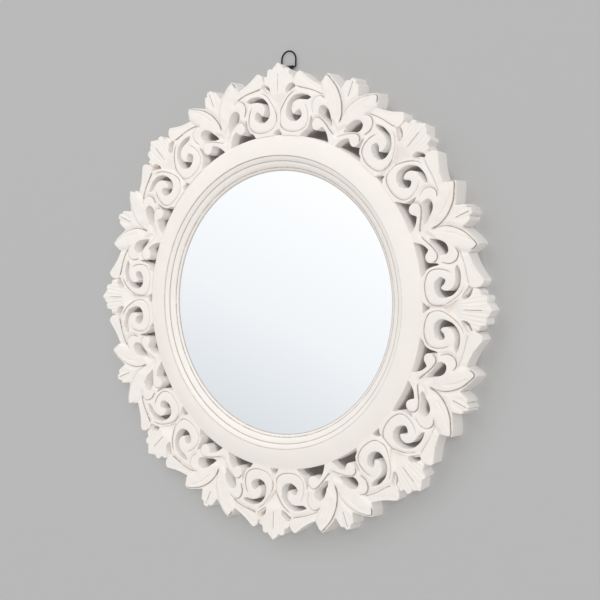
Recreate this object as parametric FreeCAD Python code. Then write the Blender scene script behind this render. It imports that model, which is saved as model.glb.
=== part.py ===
import FreeCAD, Part
import math
import os

# Round wall mirror with a carved, pierced border of scrolls, leaves and fans.
# Millimetres. +Z is up and the front looks along -Y. The origin is the mirror's centre on the wall plane.
# A depth is measured backwards from the front plane, the plane of the band's inner front edge.

# Overall sizes
overall_radius = 400.0
carving_height = 120.0
carved_segments = 8
timber_depth = 35.0
wall_gap = 6.0
cut_overrun = 2.0

# Smooth band
band_width = 34.0
band_front_depth = 0.3
band_rim_depth = 5.8
band_crown = 1.2
band_edge_round = 1.5

# Reeded inner moulding, from its outer groove inwards to the glass
outer_groove_width = 0.7
outer_groove_depth = 0.7
outer_bead_width = 8.3
outer_bead_drop = 3.8
inner_bead_width = 9.8
inner_bead_drop = 5.0
bead_crown_share = 0.2
lip_width = 4.7
lip_drop = 4.0
lip_edge = 1.0
rebate_width = 8.5

# Glass and back
glass_thickness = 4.0
glass_clearance = 1.0
card_thickness = 2.0
backboard_thickness = 5.0
backboard_clearance = 0.5

# Backboard screws
board_screws = 8
board_screw_shank_radius = 1.75
board_screw_length = 14.0
board_screw_head_radius = 3.5
board_screw_head_height = 2.0
board_hole_clearance = 0.25
pilot_clearance = 0.05

# Carving
carved_front_depth = 3.0
ledge_depth = 12.0
neck_slope_top_share = 0.583
neck_slope_foot_share = 0.32
fan_root_share = 0.42
fan_flute_sink = 2.2
fan_flute_root_radius = 3.0
leaf_hollow_root_radius = 6.0
leaf_hollow_tip_radius = 14.0
leaf_hollow_sink = 2.0
groove_width = 3.2
groove_sink = 2.4
crease_width = 7.0
crease_sink = 7.0

# Dowels
dowel_radius = 4.0
dowel_clearance = 0.05
dowel_end_clearance = 0.5
segment_dowel_length = 30.0
segment_dowel_shares = (0.40, 0.585)
band_dowel_length = 36.0
band_dowel_in_segment = 16.0
band_dowel_share = 0.25

# Hanger
hanger_offset = -2.4
ring_wire_radius = 1.5
ring_half_width = 14.5
ring_height = 27.0
ring_corner_radius = 3.0
ring_bar_drop = 3.0
knuckle_clearance = 0.05
strap_thickness = 1.2
strap_width = 20.0
strap_length = 50.0
strap_corner_radius = 4.0
knuckle_width = 18.0
hanger_screw_shank_radius = 1.75
hanger_screw_length = 14.0
hanger_screw_head_radius = 3.5
hanger_screw_head_height = 2.0
hanger_screw_end_distances = (8.0, 36.0)

# Wall bumpers
bumper_count = 4
bumper_radius = 7.0
bumper_edge = 1.0

# Outline of half a carved segment. Each point is an angle share, from the fan's axis at 0 to the joint
# with the next segment at 1, and a height share, from the band's rim at 0 to the overall radius at 1.
fan_rim_shares = [
    (0.0, 1.0), (0.03, 0.985), (0.055, 0.94), (0.068, 0.925), (0.10, 0.918), (0.125, 0.895),
    (0.142, 0.865), (0.15, 0.825), (0.17, 0.80), (0.20, 0.795), (0.225, 0.79)]
lobe_left_shares = [(0.225, 0.79), (0.24, 0.81), (0.265, 0.845), (0.29, 0.872)]
lobe_right_shares = [
    (0.29, 0.872), (0.32, 0.86), (0.36, 0.82), (0.40, 0.785), (0.45, 0.745), (0.50, 0.715), (0.55, 0.69),
    (0.605, 0.672)]
leaf_left_shares = [(0.605, 0.672), (0.612, 0.72), (0.618, 0.78), (0.63, 0.83), (0.648, 0.862), (0.67, 0.872)]
leaf_right_shares = [
    (0.67, 0.872), (0.70, 0.866), (0.74, 0.845), (0.78, 0.812), (0.82, 0.78), (0.855, 0.752), (0.878, 0.742)]
small_leaf_shares = [
    (0.878, 0.742), (0.892, 0.78), (0.90, 0.82), (0.918, 0.865), (0.945, 0.905), (0.975, 0.94), (1.0, 0.955)]
spray_foot_shares = [
    (0.935, 0.0), (0.92, 0.03), (0.90, 0.06), (0.88, 0.09), (0.86, 0.115), (0.83, 0.145), (0.77, 0.185)]
hook_shares = [
    (0.77, 0.185), (0.74, 0.165), (0.70, 0.142), (0.66, 0.138), (0.61, 0.17), (0.593, 0.21), (0.588, 0.25),
    (0.556, 0.30)]
volute_side_shares = [
    (0.556, 0.30), (0.543, 0.27), (0.54, 0.20), (0.53, 0.145), (0.50, 0.09), (0.46, 0.065), (0.415, 0.0)]
arch_shares = [(0.075, 0.0), (0.065, 0.03), (0.03, 0.065), (0.0, 0.085)]

# Holes pierced through half a segment, in the same shares. The last point of a stretch starts the next.
crescent_outer_shares = [
    (0.50, 0.545), (0.44, 0.567), (0.38, 0.576), (0.32, 0.569), (0.26, 0.55), (0.20, 0.50), (0.16, 0.445),
    (0.135, 0.36), (0.13, 0.30), (0.145, 0.25), (0.19, 0.205), (0.26, 0.185), (0.33, 0.205), (0.38, 0.25),
    (0.395, 0.285)]
crescent_curl_shares = [
    (0.395, 0.285), (0.38, 0.32), (0.35, 0.352), (0.31, 0.34), (0.285, 0.312), (0.262, 0.284)]
crescent_inner_shares = [
    (0.262, 0.284), (0.235, 0.305), (0.215, 0.36), (0.235, 0.44), (0.28, 0.495), (0.34, 0.518),
    (0.40, 0.505), (0.45, 0.49), (0.475, 0.505), (0.50, 0.545)]
slit_upper_shares = [(0.135, 0.575), (0.124, 0.59), (0.125, 0.63), (0.16, 0.685), (0.21, 0.712), (0.23, 0.70)]
slit_lower_shares = [(0.23, 0.70), (0.21, 0.668), (0.175, 0.635), (0.155, 0.595), (0.135, 0.575)]
drop_lower_shares = [
    (0.895, 0.27), (0.85, 0.275), (0.81, 0.30), (0.77, 0.32), (0.73, 0.335), (0.69, 0.345), (0.65, 0.365)]
drop_upper_shares = [
    (0.65, 0.365), (0.652, 0.40), (0.67, 0.45), (0.72, 0.48), (0.75, 0.465), (0.78, 0.44), (0.81, 0.405),
    (0.84, 0.365), (0.87, 0.325), (0.895, 0.27)]

# Lowered ground round the volute, in the same shares. The second outline lies between volute and slit.
volute_ground_shares = [
    (0.0, 0.32), (0.06, 0.32), (0.041, 0.259), (0.036, 0.167), (0.058, 0.10), (0.133, 0.053), (0.269, 0.038),
    (0.426, 0.067), (0.498, 0.113), (0.522, 0.195), (0.512, 0.26), (0.555, 0.33), (0.60, 0.20), (0.58, 0.05),
    (0.45, -0.04), (0.0, -0.04)]
slit_ground_shares = [
    (0.10, 0.42), (0.15, 0.488), (0.248, 0.576), (0.30, 0.62), (0.28, 0.665), (0.215, 0.695), (0.15, 0.65),
    (0.13, 0.60), (0.11, 0.50)]
neck_shares = [(0.0, 0.31), (0.055, 0.31), (0.091, 0.402), (0.12, 0.445), (0.13, 0.60), (0.0, 0.60)]

# Lines cut into the face, in the same shares
lobe_end_line_shares = [(0.235, 0.69), (0.237, 0.80)]
lobe_foot_line_shares = [(0.25, 0.68), (0.64, 0.615)]
small_leaf_line_shares = [(0.885, 0.74), (1.0, 0.52)]
spray_crease_shares = [(0.885, 0.285), (1.0, 0.165)]
big_leaf_hollow_shares = [(0.82, 0.48), (0.66, 0.90)]
fan_flute_tip_shares = [(0.0, 1.0), (0.10, 0.93), (0.168, 0.82)]
fan_flute_tip_radii = (13.0, 8.0, 8.0)

# Places worked out from the sizes above
segment_angle = 360.0 / carved_segments
half_segment_angle = segment_angle / 2
band_outer_radius = overall_radius - carving_height
band_inner_radius = band_outer_radius - band_width
origin = FreeCAD.Vector(0, 0, 0)
forward_axis = FreeCAD.Vector(0, 1, 0)
timber_back = -wall_gap
dowel_depth = (ledge_depth + timber_depth) / 2
sight_radius = band_inner_radius - outer_groove_width - outer_bead_width - inner_bead_width - lip_width
rebate_depth = outer_groove_depth + outer_bead_drop + inner_bead_drop + lip_drop + lip_edge
moulding_back_depth = rebate_depth + glass_thickness + card_thickness
glass_radius = sight_radius + rebate_width - glass_clearance
board_screw_radius = (sight_radius + rebate_width + band_inner_radius) / 2
knuckle_bore_radius = ring_wire_radius + knuckle_clearance
knuckle_radius = knuckle_bore_radius + strap_thickness
bar_y = timber_back + knuckle_radius
bar_z = overall_radius - ring_bar_drop
strap_face = timber_back + strap_thickness


def at_depth(depth):
    """Y of a depth behind the front plane."""
    return depth - timber_depth - wall_gap


def place(angle_share, height_share, y=0.0):
    """Point of the carved border at an angle share and a height share."""
    angle = math.radians(half_segment_angle * angle_share)
    radius = band_outer_radius + carving_height * height_share
    return FreeCAD.Vector(radius * math.sin(angle), y, radius * math.cos(angle))


def places(shares, side, y):
    """Points of a list of shares, on the right side (1) or mirrored to the left (-1)."""
    return [place(side * angle_share, height_share, y) for angle_share, height_share in shares]


def curve(shares, side, y):
    """Smooth edge through a list of shares."""
    spline = Part.BSplineCurve()
    spline.interpolate(places(shares, side, y))
    return spline.toShape()


def lines(shares, side, y):
    """Straight edges through a list of shares."""
    return Part.makePolygon(places(shares, side, y)).Edges


def rim_arc(first_share, last_share, side, y):
    """Arc on the band's rim between two angle shares."""
    middle_share = (first_share + last_share) / 2
    return Part.Arc(*places([(first_share, 0), (middle_share, 0), (last_share, 0)], side, y)).toShape()


def half_outline(side, y):
    """Edges of one half of the segment's outline, without the line on the fan's axis."""
    edges = lines(fan_rim_shares, side, y)
    for shares in (lobe_left_shares, lobe_right_shares, leaf_left_shares, leaf_right_shares, small_leaf_shares):
        edges.append(curve(shares, side, y))
    edges += lines([small_leaf_shares[-1], (1.0, 0.0)], side, y)
    edges.append(rim_arc(1.0, spray_foot_shares[0][0], side, y))
    for shares in (spray_foot_shares, hook_shares, volute_side_shares):
        edges.append(curve(shares, side, y))
    edges.append(rim_arc(volute_side_shares[-1][0], arch_shares[0][0], side, y))
    edges.append(curve(arch_shares, side, y))
    return edges


def prism(edges, y_front, y_back):
    """Solid between two depths over a closed loop of edges."""
    wire = Part.Wire(Part.sortEdges(edges)[0])
    return Part.Face(wire).extrude(FreeCAD.Vector(0, y_back - y_front, 0))


def pocket(shares, side, depth):
    """Cutter that lowers the ground inside an outline of straight lines."""
    y_front = at_depth(carved_front_depth) - cut_overrun
    return prism(lines(shares + shares[:1], side, y_front), y_front, at_depth(depth))


def pierced_hole(stretches, side):
    """Cutter for a hole whose outline is a few smooth stretches."""
    y_front = at_depth(carved_front_depth) - cut_overrun
    edges = [curve(shares, side, y_front) for shares in stretches]
    return prism(edges, y_front, timber_back + cut_overrun)


def v_groove(line_shares, side, width, sink):
    """Cutter for a straight V groove between two points of the face, run out past both ends."""
    start, end = places(line_shares, side, at_depth(carved_front_depth))
    along = (end - start).normalize()
    across = along.cross(forward_axis)
    start = start - along * cut_overrun
    end = end + along * cut_overrun
    lift = FreeCAD.Vector(0, -cut_overrun, 0)
    half = width / 2 * (sink + cut_overrun) / sink
    corners = [start + lift + across * half, start + lift - across * half, start + forward_axis * sink]
    face = Part.Face(Part.makePolygon(corners + corners[:1]))
    return face.extrude(end - start)


def round_flute(line_shares, side, root_radius, tip_radius, sink):
    """Cutter for a rounded hollow that widens from its first point to its second."""
    start, end = places(line_shares, side, at_depth(carved_front_depth))
    start.y -= root_radius
    end.y -= tip_radius - sink
    along = (end - start).normalize()
    length = start.distanceToPoint(end) + cut_overrun
    return Part.makeCone(root_radius, tip_radius, length, start, along)


def neck_cut():
    """Cutter for the fan's neck, which slopes down to the ground between the volutes."""
    top = place(0, neck_slope_top_share).z
    foot = place(0, neck_slope_foot_share).z
    front = at_depth(carved_front_depth)
    slope = [
        FreeCAD.Vector(-overall_radius, front, top), FreeCAD.Vector(-overall_radius, at_depth(ledge_depth), foot),
        FreeCAD.Vector(-overall_radius, at_depth(ledge_depth), foot - carving_height),
        FreeCAD.Vector(-overall_radius, front - cut_overrun, foot - carving_height),
        FreeCAD.Vector(-overall_radius, front - cut_overrun, top)]
    wedge = Part.Face(Part.makePolygon(slope + slope[:1])).extrude(FreeCAD.Vector(2 * overall_radius, 0, 0))
    halves = pocket(neck_shares, 1, ledge_depth).fuse(pocket(neck_shares, -1, ledge_depth))
    return halves.common(wedge)


def fan_flutes():
    """Cutters for the fan's five flutes, which spread from its root to its rim."""
    cutters = []
    for tip, tip_radius in zip(fan_flute_tip_shares, fan_flute_tip_radii):
        sides = (1,) if tip[0] == 0 else (1, -1)
        root = (tip[0] * fan_root_share, fan_root_share)
        for side in sides:
            cutters.append(round_flute([root, tip], side, fan_flute_root_radius, tip_radius, fan_flute_sink))
    return cutters


def joint_turn(side):
    """Rotation from the fan's axis to the segment's joint on one side."""
    return FreeCAD.Rotation(forward_axis, side * half_segment_angle)


def segment_dowel_places(side):
    """Middle and direction of each dowel across the joint on one side of a segment."""
    turn = joint_turn(side)
    direction = turn.multVec(FreeCAD.Vector(side, 0, 0))
    return [(place(side, share, at_depth(dowel_depth)), direction) for share in segment_dowel_shares]


def band_dowel_places():
    """Point on the band's rim and outward direction of each dowel of one segment."""
    spots = []
    for side in (1, -1):
        rim = place(side * band_dowel_share, 0)
        direction = FreeCAD.Vector(rim).normalize()
        rim.y = at_depth(dowel_depth)
        spots.append((rim, direction))
    return spots


def dowel_hole(mouth, direction, depth):
    """Cutter for a blind dowel hole that starts just outside its mouth."""
    start = mouth - direction * cut_overrun
    length = depth + dowel_end_clearance + cut_overrun
    return Part.makeCylinder(dowel_radius + dowel_clearance, length, start, direction)


def turned(shape, steps, count):
    """Copy of a shape turned clockwise about the mirror's axis, seen from the front."""
    copy = shape.copy()
    copy.rotate(origin, forward_axis, steps * 360.0 / count)
    return copy


def ring_copies(shapes, count):
    """Copies of shapes spaced evenly round the mirror."""
    return [turned(shape, step, count) for step in range(count) for shape in shapes]


def carved_segment():
    """One eighth of the border, with a fan in its middle and half a leaf spray at each end."""
    front = at_depth(carved_front_depth)
    outline = half_outline(1, front) + half_outline(-1, front)
    segment = prism(outline, front, timber_back)
    cutters = [neck_cut()] + fan_flutes()
    crescent = (crescent_outer_shares, crescent_curl_shares, crescent_inner_shares)
    for side in (1, -1):
        cutters.append(pierced_hole(crescent, side))
        cutters.append(pierced_hole((slit_upper_shares, slit_lower_shares), side))
        cutters.append(pierced_hole((drop_lower_shares, drop_upper_shares), side))
        cutters.append(pocket(volute_ground_shares, side, ledge_depth))
        cutters.append(pocket(slit_ground_shares, side, ledge_depth))
        for line_shares in (lobe_end_line_shares, lobe_foot_line_shares, small_leaf_line_shares):
            cutters.append(v_groove(line_shares, side, groove_width, groove_sink))
        cutters.append(v_groove(spray_crease_shares, side, crease_width, crease_sink))
        cutters.append(
            round_flute(
                big_leaf_hollow_shares, side, leaf_hollow_root_radius, leaf_hollow_tip_radius, leaf_hollow_sink))
        for mouth, direction in segment_dowel_places(side):
            cutters.append(dowel_hole(mouth, -direction, segment_dowel_length / 2))
    for rim, direction in band_dowel_places():
        cutters.append(dowel_hole(rim, direction, band_dowel_in_segment))
    for cutter in cutters:
        segment = segment.cut(cutter)
    return segment


def revolved(edges):
    """Solid of revolution about the mirror's axis from a closed loop in the radius and depth plane."""
    return Part.Face(Part.Wire(edges)).revolve(origin, forward_axis, 360)


def profile_point(radius, depth):
    """Point of a ring's profile."""
    return FreeCAD.Vector(radius, at_depth(depth), 0)


def crowned_edge(start, end, crown):
    """Arc between two profile points that bulges to the front."""
    middle = (start + end) * 0.5
    along = (end - start).normalize()
    outward = FreeCAD.Vector(along.y, -along.x, 0)
    if outward.y > 0:
        outward = -outward
    return Part.Arc(start, middle + outward * crown, end).toShape()


def band_ring():
    """Smooth crowned band, with sockets for the dowels."""
    inner_front = profile_point(band_inner_radius, band_front_depth)
    rim_front = profile_point(band_outer_radius - band_edge_round, band_rim_depth)
    rim_side = profile_point(band_outer_radius, band_rim_depth + band_edge_round)
    rim_back = profile_point(band_outer_radius, timber_depth)
    inner_back = profile_point(band_inner_radius, timber_depth)
    edges = [
        crowned_edge(inner_front, rim_front, band_crown),
        Part.makeLine(rim_front, rim_side),
        Part.makeLine(rim_side, rim_back),
        Part.makeLine(rim_back, inner_back),
        Part.makeLine(inner_back, inner_front)]
    band = revolved(edges)
    sockets = []
    for rim, direction in band_dowel_places():
        sockets.append(dowel_hole(rim, -direction, band_dowel_length - band_dowel_in_segment))
    for socket in ring_copies(sockets, carved_segments):
        band = band.cut(socket)
    return band


def moulding_ring():
    """Inner moulding with two beads, a lip over the glass and a rebate behind it."""
    radius = band_inner_radius - outer_groove_width
    depth = outer_groove_depth
    groove = profile_point(radius, depth)
    radius -= outer_bead_width
    depth += outer_bead_drop
    between_beads = profile_point(radius, depth)
    radius -= inner_bead_width
    depth += inner_bead_drop
    bead_foot = profile_point(radius, depth)
    sight_front = profile_point(sight_radius, rebate_depth - lip_edge)
    sight_back = profile_point(sight_radius, rebate_depth)
    rebate_radius = sight_radius + rebate_width
    rebate_corner = profile_point(rebate_radius, rebate_depth)
    rebate_back = profile_point(rebate_radius, moulding_back_depth)
    outer_back = profile_point(band_inner_radius, moulding_back_depth)
    outer_front = profile_point(band_inner_radius, outer_groove_depth + outer_groove_width)
    edges = [
        Part.makeLine(outer_front, groove),
        crowned_edge(groove, between_beads, outer_bead_width * bead_crown_share),
        crowned_edge(between_beads, bead_foot, inner_bead_width * bead_crown_share),
        Part.makeLine(bead_foot, sight_front),
        Part.makeLine(sight_front, sight_back),
        Part.makeLine(sight_back, rebate_corner),
        Part.makeLine(rebate_corner, rebate_back),
        Part.makeLine(rebate_back, outer_back),
        Part.makeLine(outer_back, outer_front)]
    moulding = revolved(edges)
    pilot_length = board_screw_length - backboard_thickness + dowel_end_clearance
    start = board_screw_place(moulding_back_depth)
    pilot = Part.makeCylinder(board_screw_shank_radius + pilot_clearance, pilot_length, start, -forward_axis)
    for hole in ring_copies([pilot], board_screws):
        moulding = moulding.cut(hole)
    return moulding


def board_screw_place(depth):
    """Centre of the first backboard screw, on the joint between two segments."""
    angle = math.radians(half_segment_angle)
    return FreeCAD.Vector(
        board_screw_radius * math.sin(angle), at_depth(depth), board_screw_radius * math.cos(angle))


def disc(radius, front_depth, thickness):
    """Flat disc on the mirror's axis."""
    return Part.makeCylinder(radius, thickness, FreeCAD.Vector(0, at_depth(front_depth), 0), forward_axis)


def backboard():
    """Thin board that closes the back, with a hole for each screw."""
    radius = band_inner_radius - backboard_clearance
    board = disc(radius, moulding_back_depth, backboard_thickness)
    hole_radius = board_screw_shank_radius + board_hole_clearance
    hole_start = board_screw_place(moulding_back_depth) - forward_axis * cut_overrun
    hole = Part.makeCylinder(hole_radius, backboard_thickness + 2 * cut_overrun, hole_start, forward_axis)
    for cutter in ring_copies([hole], board_screws):
        board = board.cut(cutter)
    return board


def pan_screw(seat, shank_radius, length, head_radius, head_height):
    """Pan-head screw that enters along -Y, with its head's flat side on the seat point."""
    shank = Part.makeCylinder(shank_radius, length, seat, -forward_axis)
    head = Part.makeCylinder(head_radius, head_height, seat, forward_axis)
    edge = head.Edges[0]
    for candidate in head.Edges:
        if candidate.BoundBox.YMin > edge.BoundBox.YMin + head_height / 2:
            edge = candidate
    head = head.makeFillet(head_height / 2, [edge])
    slot_width = shank_radius / 2
    corner = FreeCAD.Vector(
        seat.x - slot_width / 2, seat.y + head_height / 2, seat.z - shank_radius)
    slot = Part.makeBox(slot_width, head_height, 2 * shank_radius, corner)
    corner = FreeCAD.Vector(
        seat.x - shank_radius, seat.y + head_height / 2, seat.z - slot_width / 2)
    cross_slot = Part.makeBox(2 * shank_radius, head_height, slot_width, corner)
    return shank.fuse(head).cut(slot).cut(cross_slot)


def backboard_screws():
    """Screws that hold the backboard to the moulding."""
    seat = board_screw_place(moulding_back_depth + backboard_thickness)
    screw = pan_screw(
        seat, board_screw_shank_radius, board_screw_length, board_screw_head_radius, board_screw_head_height)
    return Part.makeCompound(ring_copies([screw], board_screws))


def segment_dowels():
    """Two dowels across each joint between neighbouring segments."""
    dowels = []
    for middle, direction in segment_dowel_places(1):
        start = middle - direction * (segment_dowel_length / 2)
        dowels.append(Part.makeCylinder(dowel_radius, segment_dowel_length, start, direction))
    return Part.makeCompound(ring_copies(dowels, carved_segments))


def band_dowels():
    """Two dowels from the band into each segment."""
    dowels = []
    for rim, direction in band_dowel_places():
        start = rim - direction * (band_dowel_length - band_dowel_in_segment)
        dowels.append(Part.makeCylinder(dowel_radius, band_dowel_length, start, direction))
    return Part.makeCompound(ring_copies(dowels, carved_segments))


def hanger_screw_seats():
    """Points on the strap's face under each screw head."""
    foot = bar_z - strap_length
    return [
        FreeCAD.Vector(hanger_offset, strap_face, foot + distance) for distance in hanger_screw_end_distances]


def hanger_strap():
    """Steel strap whose folded upper end is a knuckle round the ring's bar."""
    corner = FreeCAD.Vector(hanger_offset - strap_width / 2, timber_back, bar_z - strap_length)
    plate = Part.makeBox(strap_width, strap_thickness, strap_length, corner)
    foot_edges = []
    for edge in plate.Edges:
        box = edge.BoundBox
        if box.ZMax < bar_z - strap_length / 2 and box.YLength > strap_thickness / 2:
            foot_edges.append(edge)
    plate = plate.makeFillet(strap_corner_radius, foot_edges)
    left_end = FreeCAD.Vector(hanger_offset - knuckle_width / 2, bar_y, bar_z)
    right = FreeCAD.Vector(1, 0, 0)
    knuckle = Part.makeCylinder(knuckle_radius, knuckle_width, left_end, right)
    bore_start = left_end - right * cut_overrun
    bore = Part.makeCylinder(knuckle_bore_radius, knuckle_width + 2 * cut_overrun, bore_start, right)
    strap = plate.fuse(knuckle).cut(bore)
    hole_radius = hanger_screw_shank_radius + board_hole_clearance
    hole_length = strap_thickness + 2 * cut_overrun
    for seat in hanger_screw_seats():
        hole_start = seat - forward_axis * (strap_thickness + cut_overrun)
        strap = strap.cut(Part.makeCylinder(hole_radius, hole_length, hole_start, forward_axis))
    return strap


def hanger_screws():
    """Two screws that hold the strap to the top segment."""
    screws = []
    for seat in hanger_screw_seats():
        screws.append(pan_screw(
            seat, hanger_screw_shank_radius, hanger_screw_length,
            hanger_screw_head_radius, hanger_screw_head_height))
    return Part.makeCompound(screws)


def top_segment(segment):
    """The segment that carries the hanger, with a pilot hole for each of its screws."""
    for seat in hanger_screw_seats():
        length = hanger_screw_length + dowel_end_clearance
        segment = segment.cut(
            Part.makeCylinder(hanger_screw_shank_radius + pilot_clearance, length, seat, -forward_axis))
    return segment


def hanger_ring():
    """Wire ring with a straight bar at its foot, straight legs and a round top."""
    low = bar_z
    corner = ring_corner_radius
    spring = bar_z + ring_height - ring_half_width
    half = ring_half_width
    diagonal = corner * (1 - math.sqrt(0.5))

    def point(across, height):
        return FreeCAD.Vector(hanger_offset + across, bar_y, height)

    edges = [
        Part.makeLine(point(0, low), point(half - corner, low)),
        Part.Arc(
            point(half - corner, low), point(half - diagonal, low + diagonal), point(half, low + corner)).toShape(),
        Part.makeLine(point(half, low + corner), point(half, spring)),
        Part.Arc(point(half, spring), point(0, spring + half), point(-half, spring)).toShape(),
        Part.makeLine(point(-half, spring), point(-half, low + corner)),
        Part.Arc(
            point(-half, low + corner), point(diagonal - half, low + diagonal), point(corner - half, low)).toShape(),
        Part.makeLine(point(corner - half, low), point(0, low))]
    section = Part.Wire([Part.makeCircle(ring_wire_radius, point(0, low), FreeCAD.Vector(1, 0, 0))])
    return Part.Wire(edges).makePipeShell([section], True, False)


def wall_bumpers():
    """Rubber discs on the back of the band that rest against the wall."""
    radius = (band_inner_radius + band_outer_radius) / 2
    angle = math.radians(180.0 / bumper_count)
    start = FreeCAD.Vector(radius * math.sin(angle), timber_back, radius * math.cos(angle))
    body = Part.makeCylinder(bumper_radius, wall_gap - bumper_edge, start, forward_axis)
    tip_start = start + forward_axis * (wall_gap - bumper_edge)
    tip = Part.makeCone(bumper_radius, bumper_radius - bumper_edge, bumper_edge, tip_start, forward_axis)
    return Part.makeCompound(ring_copies([body.fuse(tip)], bumper_count))


def main():
    os.makedirs("parts", exist_ok=True)
    segment = carved_segment()
    nodes = {
        "band_ring": band_ring(),
        "moulding_ring": moulding_ring(),
        "segment_dowels": segment_dowels(),
        "band_dowels": band_dowels(),
        "mirror_glass": disc(glass_radius, rebate_depth, glass_thickness),
        "backing_card": disc(glass_radius, rebate_depth + glass_thickness, card_thickness),
        "backboard": backboard(),
        "backboard_screws": backboard_screws(),
        "hanger_strap": hanger_strap(),
        "hanger_screws": hanger_screws(),
        "hanger_ring": hanger_ring(),
        "wall_bumpers": wall_bumpers(),
    }
    for number in range(carved_segments):
        copy = turned(segment, number, carved_segments)
        nodes["carved_segment_%d" % (number + 1)] = top_segment(copy) if number == 0 else copy
    for name, shape in sorted(nodes.items()):
        shape.exportStep(os.path.join("parts", name + ".step"))
        print(name, len(shape.Solids), "solids", shape.isValid(), round(shape.Volume / 1000, 2), "cm3")


main()
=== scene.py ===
import math

import bpy
import numpy as np
from mathutils import Matrix, Quaternion, Vector
from mathutils.geometry import delaunay_2d_cdt


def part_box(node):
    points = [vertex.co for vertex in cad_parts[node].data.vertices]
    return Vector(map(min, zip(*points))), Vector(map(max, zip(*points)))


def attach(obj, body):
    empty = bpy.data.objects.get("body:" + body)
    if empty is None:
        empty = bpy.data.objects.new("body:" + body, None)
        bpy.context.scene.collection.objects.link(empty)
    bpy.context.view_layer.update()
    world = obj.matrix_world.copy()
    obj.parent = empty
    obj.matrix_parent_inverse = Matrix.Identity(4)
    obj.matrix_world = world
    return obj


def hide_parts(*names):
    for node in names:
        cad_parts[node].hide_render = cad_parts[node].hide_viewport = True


bl_info = {
    "name": "Round carved mirror",
    "version": (1, 0, 0),
    "blender": (4, 5, 0),
    "location": "View3D > Sidebar > Mirror",
    "description": "Carved, whitewashed frame and hardware of a round wall mirror",
    "category": "Object",
}

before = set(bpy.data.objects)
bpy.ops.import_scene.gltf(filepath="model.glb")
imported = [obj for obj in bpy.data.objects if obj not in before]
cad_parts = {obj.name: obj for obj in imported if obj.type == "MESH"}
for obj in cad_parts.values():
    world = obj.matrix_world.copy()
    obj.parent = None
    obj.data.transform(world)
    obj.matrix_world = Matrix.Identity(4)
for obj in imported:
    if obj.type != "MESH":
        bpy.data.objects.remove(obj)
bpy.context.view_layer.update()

# Metres. The front looks along -Y and +Z is up. A depth is measured backwards from the front plane.
MM = 0.001
segment_count = 8
half_angle = math.pi / segment_count
axis_direction = np.array([0.0, 1.0])
joint_direction = np.array([math.sin(half_angle), math.cos(half_angle)])
rim_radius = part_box("band_ring")[1].x
overall_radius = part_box("carved_segment_3")[1].x
reach = overall_radius - rim_radius
timber_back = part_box("carved_segment_1")[1].y
timber_depth = 35 * MM
front_y = timber_back - timber_depth
band_inner_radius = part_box("moulding_ring")[1].z
moulding_width = 23.5 * MM
sight_radius = band_inner_radius - moulding_width
moulding_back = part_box("moulding_ring")[1].y - front_y
front_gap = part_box("band_ring")[0].y - front_y

# Outline of half a carved segment, in stretches from the fan's tip round to the arch at its foot. A point
# is an angle share, from 0 on the fan's axis to 1 at the joint, and a height share, from 0 at the rim to 1
# at the overall radius.
fan_rim_shares = [
    (0.0, 1.0), (0.03, 0.968), (0.055, 0.945), (0.078, 0.912), (0.10, 0.922), (0.127, 0.925),
    (0.148, 0.905), (0.152, 0.868), (0.158, 0.832), (0.18, 0.83), (0.203, 0.816), (0.218, 0.79),
    (0.226, 0.765)]
lobe_left_shares = [(0.226, 0.765), (0.232, 0.81), (0.25, 0.85), (0.27, 0.875), (0.295, 0.888)]
lobe_right_shares = [
    (0.295, 0.888), (0.32, 0.872), (0.36, 0.84), (0.40, 0.81), (0.45, 0.78), (0.50, 0.757), (0.55, 0.74),
    (0.598, 0.727)]
leaf_left_shares = [(0.598, 0.727), (0.606, 0.77), (0.617, 0.815), (0.635, 0.86), (0.66, 0.895)]
leaf_right_shares = [
    (0.66, 0.895), (0.70, 0.872), (0.74, 0.845), (0.78, 0.812), (0.82, 0.78), (0.85, 0.755),
    (0.878, 0.735)]
small_leaf_shares = [
    (0.878, 0.735), (0.892, 0.78), (0.905, 0.83), (0.917, 0.868), (0.94, 0.885), (0.955, 0.875),
    (0.968, 0.915), (0.985, 0.935), (1.0, 0.925)]
joint_shares = [(1.0, 0.925), (1.0, 0.0)]
spray_rim_shares = [(1.0, 0.0), (0.97, 0.0), (0.935, 0.0)]
spray_foot_shares = [
    (0.935, 0.0), (0.92, 0.03), (0.90, 0.06), (0.88, 0.09), (0.86, 0.115), (0.83, 0.145), (0.77, 0.185)]
hook_shares = [
    (0.77, 0.185), (0.745, 0.168), (0.72, 0.14), (0.69, 0.122), (0.66, 0.117), (0.63, 0.126),
    (0.603, 0.15), (0.59, 0.185), (0.586, 0.22), (0.572, 0.26), (0.552, 0.298)]
volute_side_shares = [
    (0.552, 0.298), (0.543, 0.27), (0.54, 0.20), (0.53, 0.145), (0.50, 0.09), (0.46, 0.065), (0.415, 0.0)]
volute_rim_shares = [(0.415, 0.0), (0.33, 0.0), (0.24, 0.0), (0.16, 0.0), (0.075, 0.0)]
arch_shares = [(0.075, 0.0), (0.065, 0.03), (0.03, 0.065), (0.0, 0.085)]
axis_shares = [(0.0, 0.085), (0.0, 1.0)]

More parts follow.
